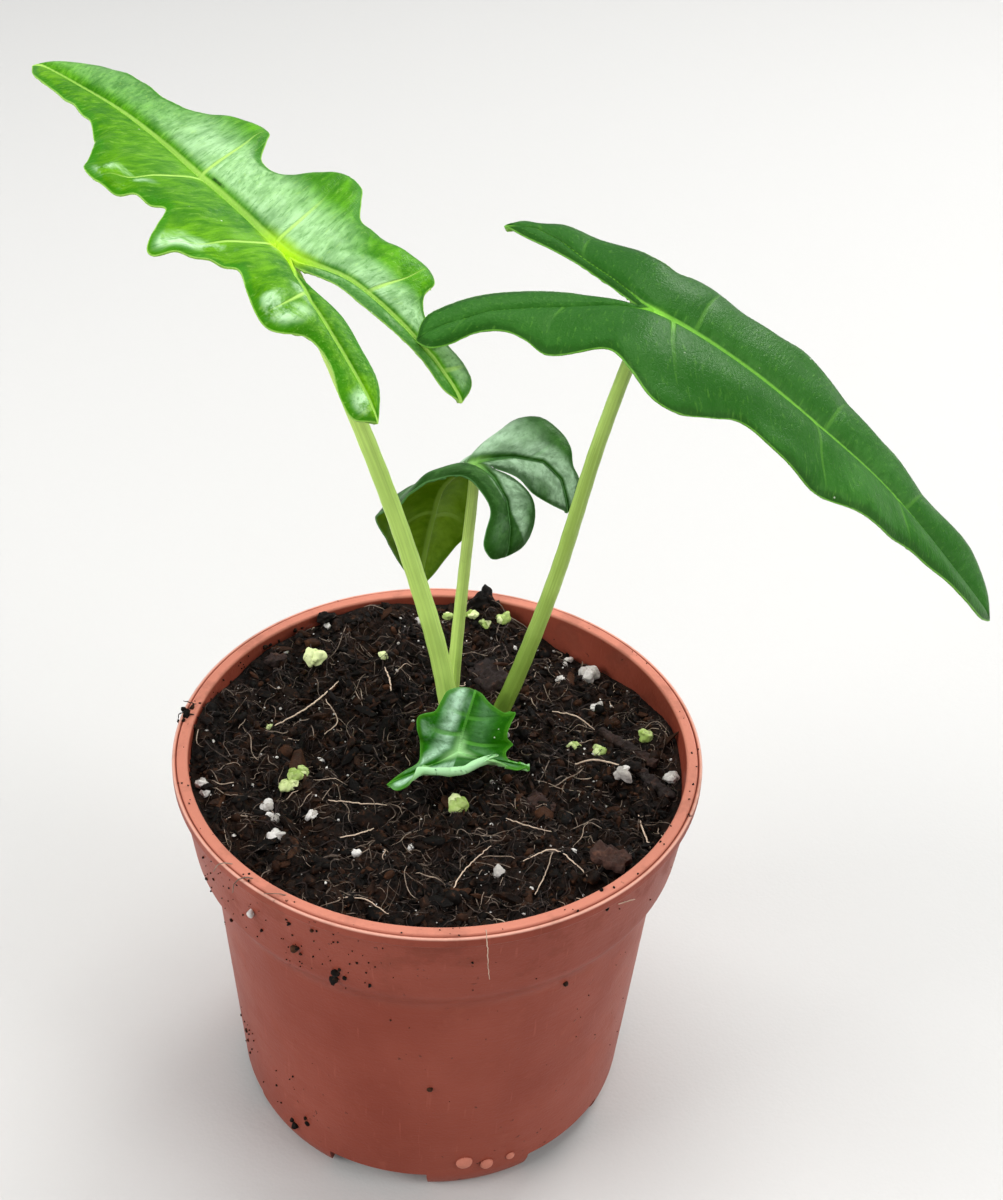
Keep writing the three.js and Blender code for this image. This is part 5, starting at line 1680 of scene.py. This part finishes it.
class PLANT_OT_blades(bpy.types.Operator):
    """Makes the four blades, each on its bent sheet, with ribs, quilting and a turned margin"""
    bl_idname = "plant.blades"
    bl_label = "Blades"

    def ribs(self, half, feet, spots, share):
        """Distance from each spot to a side rib, and the place of its row between the ribs."""
        rib = np.full(share.shape, NO_RIB)
        for at in half.rib_feet:
            foot, end = (half.line(kind, np.array([at])) for kind in ("rib", "edge"))
            gap = bowed(foot, end, share[..., None]) - spots
            rib = np.minimum(rib, np.linalg.norm(gap, axis=-1))
        stops = np.concatenate([[half.lines["edge"][1][0]], half.rib_feet, [half.last]])
        order = np.interp(-feet, -stops, np.arange(len(stops)))
        return rib, (order[:, None] - 1) * np.ones_like(share)

    def curled(self, points, edge, gap, form, out, up):
        """Points of a margin that curls upwards, and how far each is in the curl."""
        width, radius = form["roll_width"], form["roll_radius"]
        rolled = np.clip(1 - edge / width, 0, 1)
        inner = width * rolled * np.clip(gap / 6, 0, 1)
        angle = inner / radius
        points = points + (radius * np.sin(angle) - inner)[..., None] * out
        points = points + (radius * (1 - np.cos(angle)))[..., None] * up
        return points, rolled * np.clip(gap / 9, 0, 1)

    def strip(self, name, sheet, half, feet, kind, margins, form, relief):
        """A grid between a rib line and an edge, moved out of its sheet to the blade's form."""
        side, inward = half.side, kind == "notch"
        t = np.linspace(0, 1, NOTCH_COLUMNS if inward else LEAF_COLUMNS)
        share = (t - 0.1 * np.sin(WHOLE_TURN * t))[None, :, None]
        foot, end = half.line("rib", feet)[:, None], half.line(kind, feet)[:, None]
        spots = foot + share * (end - foot) if inward else bowed(foot, end, share)
        u, v = spots[..., 0], spots[..., 1]
        share = share[..., 0] * np.ones_like(u)
        rib, phase = np.full_like(u, NO_RIB), np.zeros_like(u)
        if not inward:
            rib, phase = self.ribs(half, feet, spots, share)
        edge, way = nearest(spots, margins)
        way = unit(way)
        way[:, -1] = way[:, -2]
        heart = np.hypot(u, v)
        mid, _ = nearest(spots, half.line("rib", np.arange(0, 100, 0.5)))
        faded = 1 + form["rear_rib"] * np.clip(heart / 10, 0, 1)
        rear, _ = nearest(spots, half.line("rib", np.linspace(0, half.last, 120)))
        mid = np.minimum(mid, rear * faded)
        ahead, lean, up = sheet.frame(u, v)
        # The bulge of the half, the puffs between its ribs, and grooves along the ribs.
        reach = np.linalg.norm(end - foot, axis=-1) * np.ones_like(u)
        full = np.clip(reach / FULL_REACH, 0, 1)
        rise = form["bulge"] * full * np.sin(math.pi * np.clip(share, 0, 1) ** 0.75)
        rise = rise + form["puff"] * full * (1 - bell(rib, 2.2)) * np.sin(math.pi * share)
        depth, width = MIDRIB_GROOVE
        rise = rise - depth * bell(mid, width) * np.clip(1 - heart / 120, 0.2, 1)
        depth, width = RIB_GROOVE
        groove = bell(rib, width) * np.clip(12 * share, 0, 1)
        rise = rise - depth * groove * np.clip(edge / 5, 0, 1)
        # Waves of the margin, crumpling, and the margin's turning down.
        if not inward:
            rise = rise - np.cos(WHOLE_TURN * phase) * form["wave"] * full * share ** 3
        billow = BILLOW * full * share * np.sin(0.23 * u + 0.31 * v + side)
        rise = rise + billow * np.cos(0.19 * v - 0.1 * u)
        a, b = form["pace"] * u, form["pace"] * v
        crease = np.sin(a + 0.6 * b + side) * np.cos(0.7 * b - 0.5 * a + 1.3)
        crease = crease + 0.4 * np.sin(1.8 * a - 1.2 * b + 2 * side)
        crumple = form["right_crumple" if side > 0 else "left_crumple"]
        rise = rise + crumple * np.clip((reach - 7) / 8, 0, 1) * share ** 1.5 * crease
        rise = rise - np.clip(1 - edge / form["turn_width"], 0, 1) ** 2 * form["turn"]
        points = sheet.point(u, v) + (rise * relief)[..., None] * up
        rolled = np.zeros_like(u)
        if form["roll_width"] and inward:
            out = ahead * way[..., :1] + lean * way[..., 1:]
            tip = half.line("rib", np.array([half.last]))
            gap = np.linalg.norm(spots - tip, axis=-1) - 2
            points, rolled = self.curled(points, edge, gap, form, out, up)
        run = np.cumsum(np.abs(np.diff(feet, prepend=feet[0])))[:, None] * MM
        uv = np.stack([run * np.ones_like(u) + STRIP_GAP * side, share], axis=-1)
        values = {
            "rib": rib, "mid": mid, "edge": edge, "heart": heart, "half": v / (np.abs(v) + 0.5),
            "roll": rolled,
        }
        if (side > 0) == inward:
            points, uv = points[:, ::-1], uv[:, ::-1]
            values = {key: numbers[:, ::-1] for key, numbers in values.items()}
        return shaped_grid(name, points * MM, uv, values)

    def blade(self, name, form, settings, materials):
        """A closed blade with one material on its top and margin and the other underneath."""
        leaf = LEAVES[name]
        sheet = Sheet(leaf)
        halves = [BladeHalf(leaf["right"], 1), BladeHalf(leaf["left"], -1)]
        margins = np.vstack([line[0] for half in halves for line in half.lines.values()])
        tip = leaf["right"]["edge"][0][2]
        lines = [(halves[0], "rib"), (halves[0], "edge"), (halves[1], "edge")]
        front = even_feet(tip, 0, form["step"], lines)
        strips = []
        for half in halves:
            lines = [(half, kind) for kind in ("rib", "edge", "notch")]
            rear = even_feet(0, half.last, form["step"], lines)
            for kind, feet in (("edge", np.concatenate([front, rear[1:]])), ("notch", rear)):
                strips.append(self.strip(
                    f"{name}_{kind}", sheet, half, feet, kind, margins, form, settings.relief,
                ))
        piece = join(f"{name}_leaf", strips)
        merge_close(piece, 8e-6, outward=False)
        for each in materials:
            piece.data.materials.append(each)
        mid, rib, heart = (get_values(piece, key) for key in ("mid", "rib", "heart"))
        weight = bell(mid, 0.8) * np.clip(1.05 - heart / 110, 0.2, 1)
        weight = np.maximum(weight, 0.3 * bell(rib, 0.5))
        weigh(piece, "thickness", np.maximum(weight * form["ribs"], bell(heart, 2.2)))
        modify(
            piece, "SOLIDIFY", thickness=settings.midrib_thickness, offset=-1,
            vertex_group="thickness", material_offset=1, material_offset_rim=0,
            thickness_vertex_group=settings.blade_thickness / settings.midrib_thickness,
        )
        return smooth(piece, 75)

    def execute(self, context):
        settings = context.scene.plant_leaves
        for order, name in enumerate(LEAF_NAMES):
            inputs = leaf_inputs(order)
            inputs["Green"] = tuple(getattr(settings, f"{name}_green"))
            top = new_material(
                f"Top of the {name} leaf", leaf_surface, inputs, 0.24, LEAF_GLOSS[order],
                linear(200, 255, 170),
            )
            # The underside's greens hold painted light, for light shining through the blade.
            pale, deep, heart, vein = (linear(*shade) for shade in LIT_UNDER_SHADES[order])
            under = new_material(f"Underside of the {name} leaf", leaf_surface, {
                **inputs, "Green": pale, "Left green": pale, "Deep green": deep, "Margin": deep,
                "Painted sheen and shade on the left": 0.0, "Painted sheen and shade on the right": 0.0, "Vein strength": 0.8,
                "Vein": vein, "Heart": heart, "Scar place": NO_SCAR,
            }, 0.12, 0.05)
            form = {key: row[order] for key, row in BLADE_FORMS.items()}
            piece = self.blade(name, form, settings, [top, under])
            place(piece, f"{name}_leaf_green", replaces=[f"{name}_leaf_blade"])
        return {"FINISHED"}


class PLANT_OT_stage(bpy.types.Operator):
    """Makes the floor, the lights and the camera"""
    bl_idname = "plant.stage"
    bl_label = "Stage"

    def floor(self, shade):
        """A floor of one shade far around the pot."""
        floor = added(bpy.ops.mesh.primitive_plane_add, "studio_floor", size=8)
        object_mode("EDIT")
        bpy.ops.mesh.subdivide(number_cuts=7)
        object_mode()
        set_values(floor, "tone", 0.0)
        floor.data.materials.append(new_material("Floor", earth_surface, {
            "Dark": shade, "Light": shade, "Dust": shade, "Dullness": 0.6, "Grain size": 300.0,
        }, 0.05))

    def lights(self, scene):
        settings = scene.plant_stage
        world = bpy.data.worlds.new("Studio")
        world.use_nodes = True
        sky = world.node_tree.nodes["Background"].inputs
        sky["Color"].default_value = linear(244, 246, 250)
        sky["Strength"].default_value = settings.sky
        scene.world = world
        aim = Vector(LIGHT_AIM)
        for name, power, size, spot in (
            ("top_softbox", settings.top_light, (1.0, 0.8), (0.1, 0.3, 1.3)),
            ("left_softbox", settings.side_light, (0.7, 0.7), (-1.05, -0.42, 0.65)),
            ("right_softbox", 0.6 * settings.side_light, (0.6, 0.6), (1.0, -0.4, 0.6)),
            ("sheen_softbox", 0.4 * settings.top_light, (0.5, 0.35), (0.62, 0.95, 0.75)),
        ):
            made = added(bpy.ops.object.light_add, name, type="AREA", location=spot)
            made.data.energy = power
            made.data.shape = "RECTANGLE"
            made.data.size, made.data.size_y = size
            made.rotation_euler = (aim - Vector(spot)).to_track_quat("-Z", "Y").to_euler()

    def camera(self, scene):
        """The camera, turned as it stood for the photo."""
        camera = added(bpy.ops.object.camera_add, "photo_camera")
        camera.data.sensor_width = SENSOR_WIDTH
        camera.data.lens = LENS
        camera.data.clip_start = 0.02
        right, up = Vector(CAMERA_RIGHT), Vector(CAMERA_UP)
        back = right.cross(up).normalized()
        right = up.cross(back).normalized()
        turn = Matrix((right, up, back)).transposed().to_4x4()
        camera.matrix_world = Matrix.Translation(Vector(CAMERA_PLACE)) @ turn
        scene.camera = camera

    def execute(self, context):
        scene = context.scene
        self.floor(tuple(scene.plant_stage.floor))
        self.lights(scene)
        self.camera(scene)
        scene.view_settings.view_transform = "Standard"
        deselect()
        return {"FINISHED"}


class PLANT_PT_panel(bpy.types.Panel):
    """Lists the sizes, the colours and the pieces"""
    bl_label = "Potted Alocasia"
    bl_idname = "PLANT_PT_panel"
    bl_space_type = "VIEW_3D"
    bl_region_type = "UI"
    bl_category = "Plant"

    def draw(self, context):
        for key in SETTINGS:
            box = self.layout.box()
            group = getattr(context.scene, key)
            for name in group.__annotations__:
                box.prop(group, name)
        for piece in OPERATORS:
            self.layout.operator(piece.bl_idname)


SETTINGS = {
    "plant_pot": PotSettings, "plant_soil": SoilSettings, "plant_leaves": PlantSettings,
    "plant_stage": StageSettings,
}
OPERATORS = (
    PLANT_OT_stage, PLANT_OT_pot, PLANT_OT_soil, PLANT_OT_rootstock, PLANT_OT_stalks,
    PLANT_OT_blades,
)


def register():
    for each in (*SETTINGS.values(), *OPERATORS, PLANT_PT_panel):
        bpy.utils.register_class(each)
    for key, group in SETTINGS.items():
        setattr(bpy.types.Scene, key, bpy.props.PointerProperty(type=group))


def unregister():
    for key in SETTINGS:
        delattr(bpy.types.Scene, key)
    for each in (PLANT_PT_panel, *reversed(OPERATORS), *SETTINGS.values()):
        bpy.utils.unregister_class(each)


def main():
    register()
    bpy.ops.plant.stage()
    bpy.ops.plant.pot()
    bpy.ops.plant.soil()
    bpy.ops.plant.rootstock()
    bpy.ops.plant.stalks()
    bpy.ops.plant.blades()
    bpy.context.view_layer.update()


if __name__ == "__main__":
    main()
